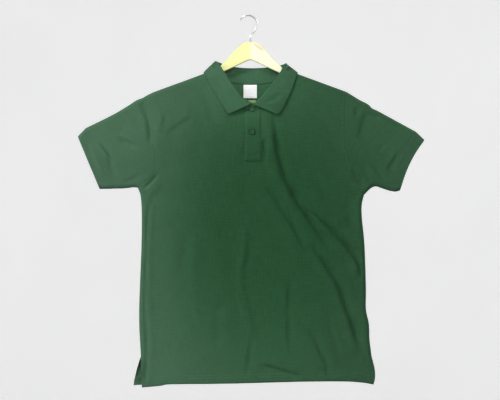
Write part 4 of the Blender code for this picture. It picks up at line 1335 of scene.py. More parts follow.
class NodeTool:
    """A Geometry Nodes tree with named inputs, run once over a mesh."""

    def __init__(self, name: str, numbers: tuple[str, ...]) -> None:
        """Starts the tree.

        Args:
            name: The tree's name.
            numbers: Names of its numbers, after the geometry and before the material.
        """
        self.tree = bpy.data.node_groups.new(name, "GeometryNodeTree")
        face = self.tree.interface
        face.new_socket("Geometry", in_out="INPUT", socket_type="NodeSocketGeometry")
        kinds = {**dict.fromkeys(numbers, "NodeSocketFloat"), "Material": "NodeSocketMaterial"}
        self.keys = {key: face.new_socket(key, in_out="INPUT", socket_type=kind).identifier
                     for key, kind in kinds.items()}
        face.new_socket("Geometry", in_out="OUTPUT", socket_type="NodeSocketGeometry")
        self.graph = Graph(self.tree)
        self.given = self.graph.add("NodeGroupInput").outputs

    def end(self, geometry: Socket) -> None:
        """Ends the tree: instances made real, and the material set.

        Args:
            geometry: What the tree has made.
        """
        add, material = self.graph.add, self.given["Material"]
        real = add("GeometryNodeRealizeInstances", {0: geometry}).outputs[0]
        done = add("GeometryNodeSetMaterial", {"Geometry": real, "Material": material}).outputs[0]
        add("NodeGroupOutput", {0: done})

    def run(self, made: Object, material: Material, **lengths: float) -> Object:
        """Puts the tree's result in the object's place as a plain mesh.

        Args:
            made: The object.
            material: Its finish.
            **lengths: The tree's numbers, in millimetres.

        Returns:
            The same object.
        """
        modifier = made.modifiers.new("tool", "NODES")
        modifier.node_group = self.tree
        modifier[self.keys["Material"]] = material
        for key, value in lengths.items():
            modifier[self.keys[key]] = value * MM
        return applied(made)


class StitchTool(NodeTool):
    """Lays one slim capsule of thread after another along rows of sewing."""

    def __init__(self) -> None:
        """Builds the tree."""
        super().__init__("stitches", ("Pitch", "Length", "Thickness"))
        add, given = self.graph.add, self.given
        curve = add("GeometryNodeMeshToCurve", {0: given["Geometry"]}).outputs[0]
        points = add("GeometryNodeCurveToPoints", {"Curve": curve, "Length": given["Pitch"]}, mode="LENGTH")
        bead = add("GeometryNodeMeshUVSphere", {"Segments": 6, "Rings": 4, "Radius": 0.5}).outputs[0]
        bead = add("GeometryNodeSetShadeSmooth", {0: bead}).outputs[0]
        thick, long = given["Thickness"], given["Length"]
        size = add("ShaderNodeCombineXYZ", {0: thick, 1: thick, 2: long}).outputs[0]
        placed = add("GeometryNodeInstanceOnPoints", {
            "Points": points.outputs["Points"], "Instance": bead, "Rotation": points.outputs["Rotation"],
            "Scale": size})
        self.end(placed.outputs[0])


class RibTool(NodeTool):
    """Raises rounded ribs over a fine mesh, counted by the distance kept on its points."""

    def __init__(self) -> None:
        """Builds the tree."""
        super().__init__("ribs", ("Pitch", "Height"))
        add, given, work = self.graph.add, self.given, self.graph.sum
        way, fade = (add("GeometryNodeInputNamedAttribute", {"Name": name}, data_type="FLOAT").outputs[0]
                     for name in ("round", "ribbed"))
        turns = work("MULTIPLY", work("DIVIDE", way, given["Pitch"]), 2.0 * math.pi)
        height = work("MULTIPLY", work("MULTIPLY", work("COSINE", turns), given["Height"]), fade)
        normal = add("GeometryNodeInputNormal").outputs[0]
        lift = add("ShaderNodeVectorMath", {0: normal, "Scale": height}, operation="SCALE").outputs[0]
        self.end(add("GeometryNodeSetPosition", {"Geometry": given["Geometry"], "Offset": lift}).outputs[0])


RIB_TOOL = RibTool()


# ---- the shirt

SEAM_LANES, ROUND_LANES = (1.3, 2.7), (0.35, 1.1)  # lines of a mesh beside its seams and its open edges
RIM = np.array([1.0, 0.6, 0.25, 0.0])  # how far a mesh's last lines are from a round edge, in half walls
ROW_LIFT = 0.12  # how far a row of sewing stands off the cloth
COLUMNS_PER_RIB = 4
SLIT = (-8.5, 20.5, -336.0)  # the front's cut under the placket: left, right and lower edge
# each button's middle on the flat front, and how far it sits behind its solid's middle
BUTTON_AT = {"top_button": (3.4, -220.0), "lower_button": (4.2, -273.3)}
SUNK = {"top_button": 2.2, "lower_button": 0.0}


def seated(piece: Object, node: str | None = None) -> None:
    """Puts a finished piece in the body, and hides its CAD solid if it has one.

    Args:
        piece: The piece.
        node: The CAD node it stands for.
    """
    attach(piece, BODY)
    if node is not None:
        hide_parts(node)
    LOG.info("%s: %d faces", piece.name, len(piece.data.polygons))


def declare(piece: Object, node: str, hung: Hung, size: Point) -> None:
    """Puts a cloth piece in its CAD solid's place and states the flat cut that it is made from.

    Args:
        piece: The finished cloth.
        node: The CAD node it stands for.
        hung: The middle of its wall, for the area.
        size: Width and length of the smallest rectangle it is cut from, in millimetres.
    """
    seated(piece, node)
    area = surface_area(hung.points, hung.faces)
    LOG.info("%s: cut %.0f x %.0f mm, %.4f m2", piece.name, size[0], size[1], area)


@dataclass
class Sewing:
    """Every row of stitches, gathered while the pieces are made and laid at the end.

    Each kind of row has its thread, and its pitch, length and thickness of a stitch.
    """

    drape: Drape
    step: float = 2.5
    rows: dict[tuple[str, str], list[Array]] = field(default_factory=dict)
    kinds = {"seam": (THREAD, 3.1, 2.5, 0.62), "hole": (THREAD, 0.75, 1.7, 0.55),
             "label": (LABEL_THREAD, 1.9, 1.5, 0.4), "button": (SHADED_BUTTON_THREAD, 0.6, 1.2, 0.6),
             "tabbed": (TAB_THREAD, 1.9, 1.5, 0.4)}

    def run(self, group: str, kind: str, points: Array) -> None:
        """Adds a row through points in space."""
        self.rows.setdefault((group, kind), []).append(points)

    def row(self, group: str, kind: str, path: Array, face: Face, lift: float) -> None:
        """Adds a row along a flat path over one face of the garment."""
        self.run(group, kind, self.drape.lifted(resampled(path, self.step), face, lift))

    def lay(self) -> None:
        """Lays the stitches of every group as pieces of their own."""
        tool = StitchTool()
        for (group, kind), rows in self.rows.items():
            finish, pitch, length, thickness = self.kinds[kind]
            mesh = bpy.data.meshes.new(f"{group}_{kind}_stitches")
            counts = np.cumsum([0] + [len(row) for row in rows])
            edges = [(i, i + 1) for a, b in zip(counts, counts[1:]) for i in range(a, b - 1)]
            mesh.from_pydata((np.vstack(rows) * MM).tolist(), edges, [])
            made = tool.run(linked(mesh.name, mesh), finish.material, Pitch=pitch, Length=length,
                            Thickness=thickness)
            seated(made)


@dataclass
class Body:
    """The front and back panels, with their hems, vents and shoulder seams.

    Band lanes are a mesh's lines over the hem: those near its foot, then those beside each row of
    stitches. The allowance is what a panel is cut longer for its seams.
    """

    drape: Drape
    sewing: Sewing
    hem_wall: float = 1.0
    allowance: float = 12.0
    band_lanes: tuple[Point, Place] = ((2.2, 3.6), (-1.3, 0.0, 1.3))
    vent_row: float = 6.0
    armhole_rows: Point = (2.2, 7.0)
    shoulder_rows: Point = (3.0, 9.0)

    def neck_edge(self, face: Face) -> list[Array]:
        """The neckline from right to left, with the placket's slit cut down from it in front.

        Args:
            face: Which panel.

        Returns:
            The stretches of the outline there.
        """
        path = self.drape.seam_path(NECK[face])[::-1]
        if face is Face.BACK:
            return [moved_left(path)]
        left, right, bottom = SLIT
        heights = [float(np.interp(x, path[::-1, 0], path[::-1, 1])) for x in (left, right)]
        start = np.vstack([path[path[:, 0] > right + 2.0], [(right, heights[1])]])
        end = np.vstack([[(left, heights[0])], path[path[:, 0] < left - 2.0]])
        down = resampled(np.array([(right, heights[1]), (right, bottom)]), self.drape.step)
        up = resampled(np.array([(left, bottom), (left, heights[0])]), self.drape.step)
        return [moved_left(start), down, up, moved_left(end)]

    def build(self, name: str, face: Face) -> Object:
        """One panel.

        Args:
            name: The piece's name.
            face: Which panel.

        Returns:
            The panel's object.
        """
        drape, folds, armholes, vents = self.drape, [], [], []
        for edges, way in ((LEFT, 1), (RIGHT, -1)):
            folds += [trimmed(drape.curve(edges.side), start=TRIM)[::way],
                      trimmed(drape.curve(edges.shoulder), end=TRIM)[::way]]
            armholes.append(drape.seam_path(edges.armhole)[::way])
            vents.append(drape.seam_path(edges.front_vent if face is Face.FRONT else edges.back_vent)[::way])
        hem = drape.curve(HEM[face])
        outline = np.vstack([
            folds[0], vents[0][1:-1], hem, vents[1][1:-1], folds[2], moved_left(armholes[1]), folds[3],
            *self.neck_edge(face), folds[1], moved_left(armholes[0])])
        at_foot, round_row = self.band_lanes
        stitched = (row + side for row in drape.hem_rows for side in round_row)
        lanes = [beside(hem, row) for row in (*ROUND_LANES, *at_foot, *stitched, drape.hem_band + 2.0)]
        lanes += [beside(path, row) for path in vents for row in ROUND_LANES]
        lanes += [beside(path, row) for path in armholes for row in SEAM_LANES]
        lanes += [lane for crease in CREASES if crease.face is face for lane in crease.lanes()]
        hung = Hung.on(drape, Pattern(drape, outline, folds, lanes), face)
        gaps = [gap_to(path, hung.flat) for path in (hem, *vents)]
        half = narrowed(CLOTH / 2, np.min(gaps, axis=0))
        band = eased((drape.hem_band - gaps[0]) / 2.0)
        hung.points = hung.points + np.array([0.0, face.value * GAP / 2, 0.0])
        made = hung.wall(name, PIQUE.material, half, half + self.hem_wall * band * (half / (CLOTH / 2)))
        self.sew(face, hem, vents)
        width, height = np.ptp(hung.flat, axis=0) + (2 * drape.spare, drape.hem_band + self.allowance)
        declare(made, "front_panel" if face is Face.FRONT else "back_panel", hung, (width, height))
        return made

    def sew(self, face: Face, hem: Array, vents: list[Array]) -> None:
        """Stitch rows of a panel: twin rows at its hem and armholes, one along each vent.

        Args:
            face: Which panel.
            hem: Its lower edge.
            vents: Its two vents' edges.
        """
        def row(path: Array, kind: str = "seam") -> None:
            """Adds one row."""
            self.sewing.row("body", kind, path, face, CLOTH / 2 + ROW_LIFT)

        drape = self.drape
        for place in drape.hem_rows:
            row(beside(hem, place)[2:-2])
        for vent in (beside(path, self.vent_row) for path in vents):
            vent = vent if vent[0, 1] > vent[-1, 1] else vent[::-1]
            row(vent[2:-4])
            row(vent[2] - [(0.0, 0.0), (math.copysign(self.vent_row - 1.0, -vent[2, 0]), 0.0)], "hole")
        for edges, sign in ((LEFT, 1.0), (RIGHT, -1.0)):
            for place in self.armhole_rows:
                kept = beside(drape.curve(edges.armhole), sign * place)
                row(kept[drape.edge(kept)[0] > 2.0])
            for place in self.shoulder_rows if face is Face.BACK else ():
                row(beside(drape.curve(edges.shoulder)[:-2], sign * place)[6:])


@dataclass
class Sleeve:
    """A short sleeve and the ribbed cuff sewn to its end, each cut longer by its allowance."""

    drape: Drape
    sewing: Sewing
    side: str
    edges: Edges
    allowances: Point = (12.0, 8.0)
    row_at: float = 3.0
    rib_pitch: float = 2.3
    rib_height: float = 0.26
    first_rows: tuple[float, ...] = (0.08, 0.7, 1.6, 3.0)
    even_rows: int = 8

    @property
    def way(self) -> int:
        """Which way the edges run: 1 for the viewer's left sleeve, -1 for the right."""
        return 1 if self.edges is LEFT else -1

    def build(self) -> Object:
        """The sleeve's tube.

        Returns:
            Its object.
        """
        drape, edges, way = self.drape, self.edges, self.way
        top, under = (trimmed(drape.curve(route), TRIM, TRIM)[::way]
                      for route in (edges.sleeve_top, edges.underarm))
        outer, inner = drape.seam_path(edges.cuff_seam)[::way], drape.seam_path(edges.armhole)[::-way]
        first, last = (top, under)[::way]
        lanes = [beside(path, row) for path in (outer, inner) for row in SEAM_LANES]
        lanes += [lane for crease in CREASES for lane in crease.lanes()]
        outline = np.vstack([first, moved_left(outer), last, moved_left(inner)])
        hung = Hung.round(drape, Pattern(drape, outline, [top, under], lanes))
        hung.flat = self.turned(hung.flat)
        made = hung.wall(f"{self.side}_sleeve_cloth", PIQUE.material, CLOTH / 2)
        for face in Face:
            path = beside(outer, self.row_at)
            self.sewing.row(f"{self.side}_sleeve", "seam", path[drape.edge(path)[0] > 1.0], face,
                            CLOTH / 2 + ROW_LIFT)
        length, width = np.ptp(hung.flat, axis=0)
        declare(made, f"{self.side}_sleeve", hung,
                (2 * (width + 2 * drape.spare), length + self.allowances[0]))
        return made

    def turned(self, flat: Array) -> Array:
        """Flat coordinates along and across the sleeve, for its knit.

        Args:
            flat: Flat points.

        Returns:
            The turned points.
        """
        start, end = np.array(self.edges.sleeve_top[0]), np.array(self.edges.sleeve_top[-1])
        x, z = unit(end - start)
        return np.column_stack([(flat - start) @ np.array([x, z]), (flat - start) @ np.array([-z, x])])

    def cuff(self) -> Object:
        """The ribbed cuff, a band knitted round with its ribs along the sleeve.

        Returns:
            Its object.
        """
        drape, radius = self.drape, self.drape.fold_radius
        seam, edge, top, under = (smooth_curve(getattr(self.edges, f"cuff_{name}"), 1.0)
                                  for name in ("seam", "edge", "top", "under"))
        width = 0.5 * (travelled(seam)[-1] + travelled(edge)[-1])
        half_round = width + 2 * drape.spare
        ribs = round(2 * half_round / self.rib_pitch)
        places = np.linspace(0.0, 2 * half_round, ribs * COLUMNS_PER_RIB, endpoint=False)
        local = np.where(places < half_round, places, 2 * half_round - places)
        near = np.minimum(local, half_round - local)
        turned = radius * (1 - np.cos(near / radius))
        depth = np.where(near < math.pi / 2 * radius, turned, near - drape.spare)
        u = np.where(local < half_round / 2, depth, width - depth) / width
        seam_points, edge_points = (along(path, u * travelled(path)[-1]) for path in (seam, edge))
        reach = np.linalg.norm(edge_points - seam_points, axis=1).mean()
        half = RIB_CLOTH / 2
        even = np.linspace(5.0, reach - 2.0, self.even_rows)
        v = np.concatenate([self.first_rows, even, reach - half * RIM]) / reach
        bulge = [along(path, v * travelled(path)[-1]) - (path[0] + v[:, None] * (path[-1] - path[0]))
                 for path in (top, under[::-1])]
        flat = np.vstack([(1 - share) * seam_points + share * edge_points
                          + (1 - u)[:, None] * bulge[0][k] + u[:, None] * bulge[1][k]
                          for k, share in enumerate(v)])
        in_front = np.tile(places <= half_round, len(v))
        points, formed = np.zeros((len(flat), 3)), np.zeros((len(flat), 3))
        for face, mask in ((Face.FRONT, in_front), (Face.BACK, ~in_front)):
            points[mask], formed[mask] = drape.surface(flat[mask], face)
        grid = grid_faces(len(v), len(places), closed=True)[:, ::self.way]
        faces, normals = outward(points, grid, formed)
        cut = np.column_stack([np.tile(places, len(v)), np.repeat(v, len(places)) * reach])
        hung = Hung(points, normals, faces, cut)
        rim = narrowed(half, np.repeat((1 - v) * reach, len(places)))
        made = hung.wall(f"{self.side}_cuff_rib", RIB.material, rim,
                         marks={"round": cut[:, 0] * MM, "ribbed": eased((cut[:, 1] - 0.5) / 2.0)})
        RIB_TOOL.run(made, RIB.material, Pitch=2 * half_round / ribs, Height=self.rib_height)
        declare(made, f"{self.side}_cuff", hung, (2 * half_round, reach + self.allowances[1]))
        return made


@dataclass(frozen=True)
class CollarRow:
    """Where the collar folds over and where its fall ends, at an angle round the neck.

    Spread is the share of the cloth's depth there, negative in front.
    """

    angle: float
    spread: float
    roll: Point
    edge: Point


@dataclass
class Collar:
    """The flat-knit collar: stand, roll and fall, from its left front end round to its right one.

    Each row of `stand_off_at` is an angle and how far the fall's edge stands off the cloth below it.
    """

    drape: Drape
    rib_pitch: float = 2.2
    rib_height: float = 0.13
    allowance: float = 8.0
    roll_radius: float = 2.6
    roll_stand_off: float = 4.6
    stand_off_at: Route = ((-180, 7.5), (-168, 4), (-130, 2.2), (-100, 2.4), (-80, 3),
                           (80, 3), (105, 4.6), (150, 5.2), (168, 5.2), (180, 7.5))
    stand_inset: float = 1.1
    stand_rows: tuple[float, ...] = (0.0, 0.04, 0.12, 0.25, 0.45, 0.65, 0.85)
    fall_puff: float = 0.9
    end_gap: float = 0.3
    corner: Point = (2.5, 6.0)
    rows: tuple[CollarRow, ...] = (
        CollarRow(-180, -1, (2.8, -206), (-51, -232)),
        CollarRow(-162, -1, (-20.5, -192), (-63, -216)),
        CollarRow(-144, -1, (-35, -173), (-76, -195)),
        CollarRow(-126, -1, (-50, -152), (-90, -171)),
        CollarRow(-108, -1, (-66, -128), (-102, -150)),
        CollarRow(-98, -0.7, (-76, -114), (-107, -140.5)),
        CollarRow(-90, 0, (-82, -106.5), (-110, -133)),
        CollarRow(-82, 0.7, (-78, -107.5), (-108, -141)),
        CollarRow(-68, 1, (-68, -111), (-99, -153)),
        CollarRow(-40, 1, (-42, -118.5), (-66, -167)),
        CollarRow(0, 1, (0, -121.7), (0, -173)),
        CollarRow(40, 1, (42, -120), (66, -168)),
        CollarRow(68, 1, (69, -115.5), (100, -154)),
        CollarRow(82, 0.7, (79.5, -113), (109, -142)),
        CollarRow(90, 0, (83.4, -112), (111, -133.4)),
        CollarRow(98, -0.7, (78.5, -121.5), (108, -142)),
        CollarRow(108, -1, (71, -134), (104, -153)),
        CollarRow(126, -1, (57, -155), (97, -173)),
        CollarRow(144, -1, (41, -174), (87, -194)),
        CollarRow(162, -1, (24, -194), (76.5, -216)),
        CollarRow(180, -1, (8.2, -207.5), (64.6, -234)),
    )
    creases: tuple[Crease, ...] = (
        Crease(F, -2.6, 3.6, ((76, -182), (64, -193), (46, -202), (30, -208)), 0.5, 4, 2.4),
        Crease(F, -0.9, 9, ((-96, -146), (-74, -168), (-60, -196)), 0.3, 3),
    )

    def fall_stand_off(self, angles: Array) -> Array:
        """How far the fall's edge stands off the cloth below it at angles round the neck."""
        return np.interp(angles, *np.array(self.stand_off_at).T)

    def curves(self, angles: Array) -> tuple[Array, Array, Array]:
        """Seam, roll and outer edge of the collar.

        Args:
            angles: Angles round the neck, in degrees, rising.

        Returns:
            The three curves' points at those angles.
        """
        places = np.array([row.angle for row in self.rows], float)
        spread = np.array([row.spread for row in self.rows])
        found = []
        for name, stand_off in (("roll", self.roll_stand_off), ("edge", self.fall_stand_off(places))):
            flat = np.array([getattr(row, name) for row in self.rows])
            depth = self.drape.depth(np.maximum(0.0, self.drape.edge(flat)[0])) + stand_off
            found.append(hermite(in_space(flat, spread * depth), places, angles))
        found[0][[0, -1], 0] += (-self.end_gap, self.end_gap)
        return self.seam(angles), found[0], found[1]

    def seam(self, angles: Array) -> Array:
        """Where the collar's sewn edge lies, just inside the neckline.

        Args:
            angles: Angles round the neck, in degrees.

        Returns:
            The edge's points at those angles.
        """
        placed = np.zeros((len(angles), 3))
        turn = (np.abs(angles) - 90.0) / 180.0
        shares = {Face.BACK: 0.5 + angles / 180.0, Face.FRONT: np.where(angles < 0, turn, 1.0 - turn)}
        behind = np.abs(angles) <= 90.0
        for face, mask in ((Face.BACK, behind), (Face.FRONT, ~behind)):
            path = smooth_curve(NECK[face], 0.5)
            length = travelled(path)[-1]
            mark = shares[face][mask] * length
            middle = along(path, mark)
            after = along(path, np.minimum(length, mark + 1.0))
            way = unit(after - along(path, np.maximum(0.0, mark - 1.0)))
            inside = middle + self.stand_inset * np.column_stack([-way[:, 1], way[:, 0]])
            depth = self.drape.depth(np.maximum(0.0, self.drape.edge(middle)[0]))
            placed[mask] = in_space(inside, face.value * depth)
        return placed

    def pushed_out(self, points: Array, lift: Array) -> Array:
        """Points moved clear of the body cloth.

        Args:
            points: Places in space.
            lift: How far each is at least from the cloth's middle.

        Returns:
            The places, moved where they were nearer.
        """
        flat = points[:, [0, 2]]
        distance, inward = self.drape.edge(flat)
        moved, radius = points.copy(), self.drape.fold_radius
        for face in Face:
            mask = (np.sign(points[:, 1]) == face.value) | ((points[:, 1] == 0) & (face is Face.FRONT))
            on = mask & (distance >= radius)
            far = distance[on]
            least = self.drape.depth(far) + self.drape.relief(flat[on], face, far) + lift[on]
            moved[on, 1] = face.value * np.maximum(np.abs(points[on, 1]), least)
            over = mask & (distance < radius)
            across, facing = radius - distance[over], np.abs(points[over, 1])
            grow = np.maximum(1.0, (radius + lift[over]) / np.maximum(np.hypot(across, facing), 1e-6))
            moved[np.ix_(over, [0, 2])] -= inward[over] * (across * (grow - 1.0))[:, None]
            moved[over, 1] = face.value * facing * grow
        return moved

    def angles(self) -> tuple[Array, Array]:
        """Angles evenly spaced along the outer edge, close at the two ends.

        Returns:
            The angles, and their distances along the edge.
        """
        fine = np.linspace(-180.0, 180.0, 1441)
        marks = travelled(self.curves(fine)[2])
        half = RIB_CLOTH / 2
        ends = half * RIM[:0:-1]
        even = np.linspace(half, marks[-1] - half, round(marks[-1] / self.rib_pitch) * COLUMNS_PER_RIB)
        places = np.concatenate([ends, even, marks[-1] - ends[::-1]])
        return np.interp(places, marks, fine), places

    def sections(self, angles: Array, from_end: Array, out: Array) -> Array:
        """The collar's lines from its seam, up the stand, over the roll and down the fall.

        Args:
            angles: Angles round the neck.
            from_end: Distance along the outer edge from the nearer front end, at each angle.
            out: The way outwards at each angle.

        Returns:
            The lines' points, a row for each line.
        """
        seam, roll, edge = self.curves(angles)
        up = -(unit(seam - roll) + unit(edge - roll))
        up = unit(up - np.sum(up * out, axis=1, keepdims=True) * out)
        centre = roll - self.roll_radius * up
        lines = [seam + share * (centre - self.roll_radius * out - seam) for share in self.stand_rows]
        lines += [centre + self.roll_radius * (math.cos(a) * out + math.sin(a) * up)
                  for a in (math.radians(turned) for turned in np.linspace(180.0, 0.0, 9))]
        last = lines[-1]
        length = np.linalg.norm(edge - last, axis=1)
        radius = np.where(angles < 0, self.corner[0], self.corner[1])
        short = radius - np.sqrt(np.maximum(0.0, radius ** 2 - np.maximum(0.0, radius - from_end) ** 2))
        reach = 1.0 - short / length
        for share in [*np.linspace(0.08, 0.92, 15), *(1.0 - part * RIB_CLOTH / 2 / length for part in RIM)]:
            puffed = 4.0 * np.minimum(share, 0.95) * (1.0 - np.minimum(share, 0.95))
            place = last + (share * reach)[:, None] * (edge - last) + self.fall_puff * (puffed * out.T).T
            place = self.pushed_out(place, self.fall_stand_off(angles))
            place[:, 1] += self.creased(place)
            lines.append(place)
        return np.array(lines)

    def build(self) -> Object:
        """The collar's wall.

        Returns:
            Its object.
        """
        angles, places = self.angles()
        turn = np.radians(angles)
        out = np.column_stack([np.sin(turn), np.cos(turn), np.zeros(len(turn))])
        from_end = np.minimum(places, places[-1] - places)
        rows = self.sections(angles, from_end, out)
        count, columns = rows.shape[:2]
        away, points, half = np.zeros_like(rows), rows.reshape(-1, 3), RIB_CLOTH / 2
        away[-len(RIM)] = out
        faces, normals = outward(points, grid_faces(count, columns), away.reshape(-1, 3))
        depth = np.repeat([*[9.0] * (count - len(RIM)), *(half * RIM)], columns)
        rim = narrowed(half, np.minimum(depth, np.tile(from_end, count)))
        down = np.concatenate([np.zeros((1, columns)), np.linalg.norm(np.diff(rows, axis=0), axis=2)])
        cut = np.column_stack([np.tile(places, count), np.cumsum(down, axis=0).ravel()])
        hung = Hung(points, normals, faces, cut)
        made = hung.wall("collar_rib", RIB.material, rim,
                         marks={"round": cut[:, 0] * MM, "ribbed": eased((cut[:, 1] - 1.0) / 3.0)})
        RIB_TOOL.run(made, RIB.material, Pitch=self.rib_pitch, Height=self.rib_height)
        declare(made, "collar", hung, (places[-1], cut[:, 1].max() + self.allowance))
        return made

    def creased(self, places: Array) -> Array:
        """How far the leaves' own soft creases move points in front, towards the viewer as negative."""
        height = sum(crease.heights(places[:, [0, 2]]) for crease in self.creases)
        return np.where(places[:, 1] < 0, -height, 0.0)


@dataclass
class Placket:
    """The two strips of the neck opening, buttoned up.

    `upper` is the upper strip's left, right and lower edge, and `clear` and `proud` are how far it lies
    off the front. `pucker` is the radius of the dent round a button. `hole` is half a buttonhole's
    width and height, and the height at which its ends are cut flat.
    """

    drape: Drape
    sewing: Sewing
    upper: Place = (-12.9, 24.9, -341.5)
    box_top: float = -329.7
    rows_from: float = -212.0
    edge_row: float = 2.2
    right_row: float = 17.6
    clear: float = 0.3
    proud: float = 0.18
    inset: float = 0.3
    puff: float = 0.85
    pull: float = 0.7
    pull_width: float = 1.1
    pucker: float = 6.4
    pucker_depth: float = 1.8
    pressed: float = 0.35
    thinned: float = 0.45
    thin_width: float = 6.0
    hole: Place = (1.15, 8.0, 7.6)
    allowances: Point = (12.0, 10.0)

    def strip(self, left: float, right: float, bottom: float) -> Pattern:
        """A strip's pattern; its upper end follows the front neckline.

        Args:
            left: Its left edge.
            right: Its right edge.
            bottom: Its foot.

        Returns:
            The pattern.
        """
        neck = smooth_curve(NECK[Face.FRONT], 1.0)
        top = neck[(neck[:, 0] > left + 0.8) & (neck[:, 0] < right - 0.8)][::-1] - np.array([0.0, GAP / 2])
        heights = [float(np.interp(x, neck[:, 0], neck[:, 1])) - GAP / 2 for x in (left, right)]
        corners = np.array([(left, heights[0]), (left, bottom), (right, bottom), (right, heights[1])])
        sides = [resampled(corners[k:k + 2], 2.0)[:-1] for k in range(3)]
        inwards = np.array([(1, 0), (1, 1), (-1, 1), (-1, 0)])
        dropped = np.array([(0, 1), (0, 0), (0, 0), (0, 1)])
        lanes = [resampled(corners + inset * inwards - dropped, 2.0) for inset in (0.3, 0.9, 1.7)]
        return Pattern(self.drape, np.vstack([*sides, corners[3:], top]), [], lanes, 2.2)

    def build(self) -> None:
        """Both strips, their stitching and buttonholes."""
        left, right, bottom = SLIT
        lift, inset = GAP / 2 + CLOTH + self.clear + self.proud, self.inset
        under = self.strip(left + inset, right - inset, bottom + inset)
        self.lay("placket_lower_strip", "placket_under", under, GAP / 2, SLIT)
        self.lay("placket_upper_strip", "placket_top", self.strip(*self.upper), lift, self.upper)
        self.sew(lift + CLOTH / 2 + 0.1)

    def lay(self, name: str, node: str, pattern: Pattern, lift: float, sides: Place) -> None:
        """Lays one strip over the front.

        Args:
            name: The piece's name.
            node: The CAD node it stands for.
            pattern: Its pattern.
            lift: How far its middle is off the front's.
            sides: Left, right and lower edge at which its wall runs out.
        """
        flat, upper = pattern.points, sides is self.upper
        points = self.drape.lifted(flat, Face.FRONT, lift)
        left, right, bottom = sides
        gap = np.minimum(np.minimum(flat[:, 0] - left, right - flat[:, 0]), flat[:, 1] - bottom)
        half = narrowed(CLOTH / 2, np.maximum(gap, 0.0))
        if upper:
            points = points + self.puffed(flat, gap)[:, None] * vertex_normals(points, pattern.faces)
            half = half * (1.0 - self.thinned * (1.0 - eased(np.abs(right - flat[:, 0]) / self.thin_width)))
        hung = Hung(points, vertex_normals(points, pattern.faces), pattern.faces, flat)
        width, height = np.ptp(flat, axis=0)
        size = (2 * width + self.allowances[0], height + self.allowances[1])
        made = hung.wall(name, PIQUE.material, half)
        declare(made, node, hung, size)

    def puffed(self, flat: Array, gap: Array) -> Array:
        """How the upper strip swells between its stitch rows and pulls in at them.

        Args:
            flat: Flat points.
            gap: Their distance from the strip's edges.

        Returns:
            A height for each point.
        """
        left, right, bottom = self.upper
        swell = self.puff * eased(gap / 4.0)
        for axis, place in ((0, left + self.edge_row), (0, self.right_row), (1, self.box_top),
                            (1, bottom + self.edge_row)):
            swell -= self.pull * ridge(flat[:, axis] - place, self.pull_width)
        for x, z in BUTTON_AT.values():
            away = np.hypot(flat[:, 0] - x, flat[:, 1] - z)
            swell -= self.pucker_depth * ridge(away - self.pucker, self.pull_width)
        pressed = self.pressed * (1.0 - eased((right - flat[:, 0]) / self.thin_width))
        pressed = pressed * eased((flat[:, 1] + 310.0) / 30.0)
        return np.maximum(swell, -0.35 * eased((-219.0 - flat[:, 1]) / 8.0)) - pressed

    def sew(self, lift: float) -> None:
        """Edge stitching, the stitched box at the foot, and worked buttonholes.

        Args:
            lift: How far the rows are off the front's middle.
        """
        row, top, middle = self.edge_row, self.box_top, self.right_row
        left, right, foot = self.upper[0] + row, self.upper[1] - row, self.upper[2] + row
        runs = (((left, self.rows_from), (left, foot)), ((middle, self.rows_from), (middle, top)),
                ((left, foot), (right, foot)), ((right, foot), (right, top)), ((left, top), (right, top)))
        for run in runs:
            self.sewing.row("placket", "seam", np.array(run), Face.FRONT, lift)
        turn = np.linspace(0.0, 2 * math.pi, 41)
        half_width, half_height, flat_at = self.hole
        for x, z in BUTTON_AT.values():
            loop = np.column_stack([x + half_width * np.cos(turn), z + half_height * np.sin(turn)])
            loop[:, 1] = z + np.clip(loop[:, 1] - z, -flat_at, flat_at)
            self.sewing.row("placket", "hole", loop, Face.FRONT, lift + 0.25)


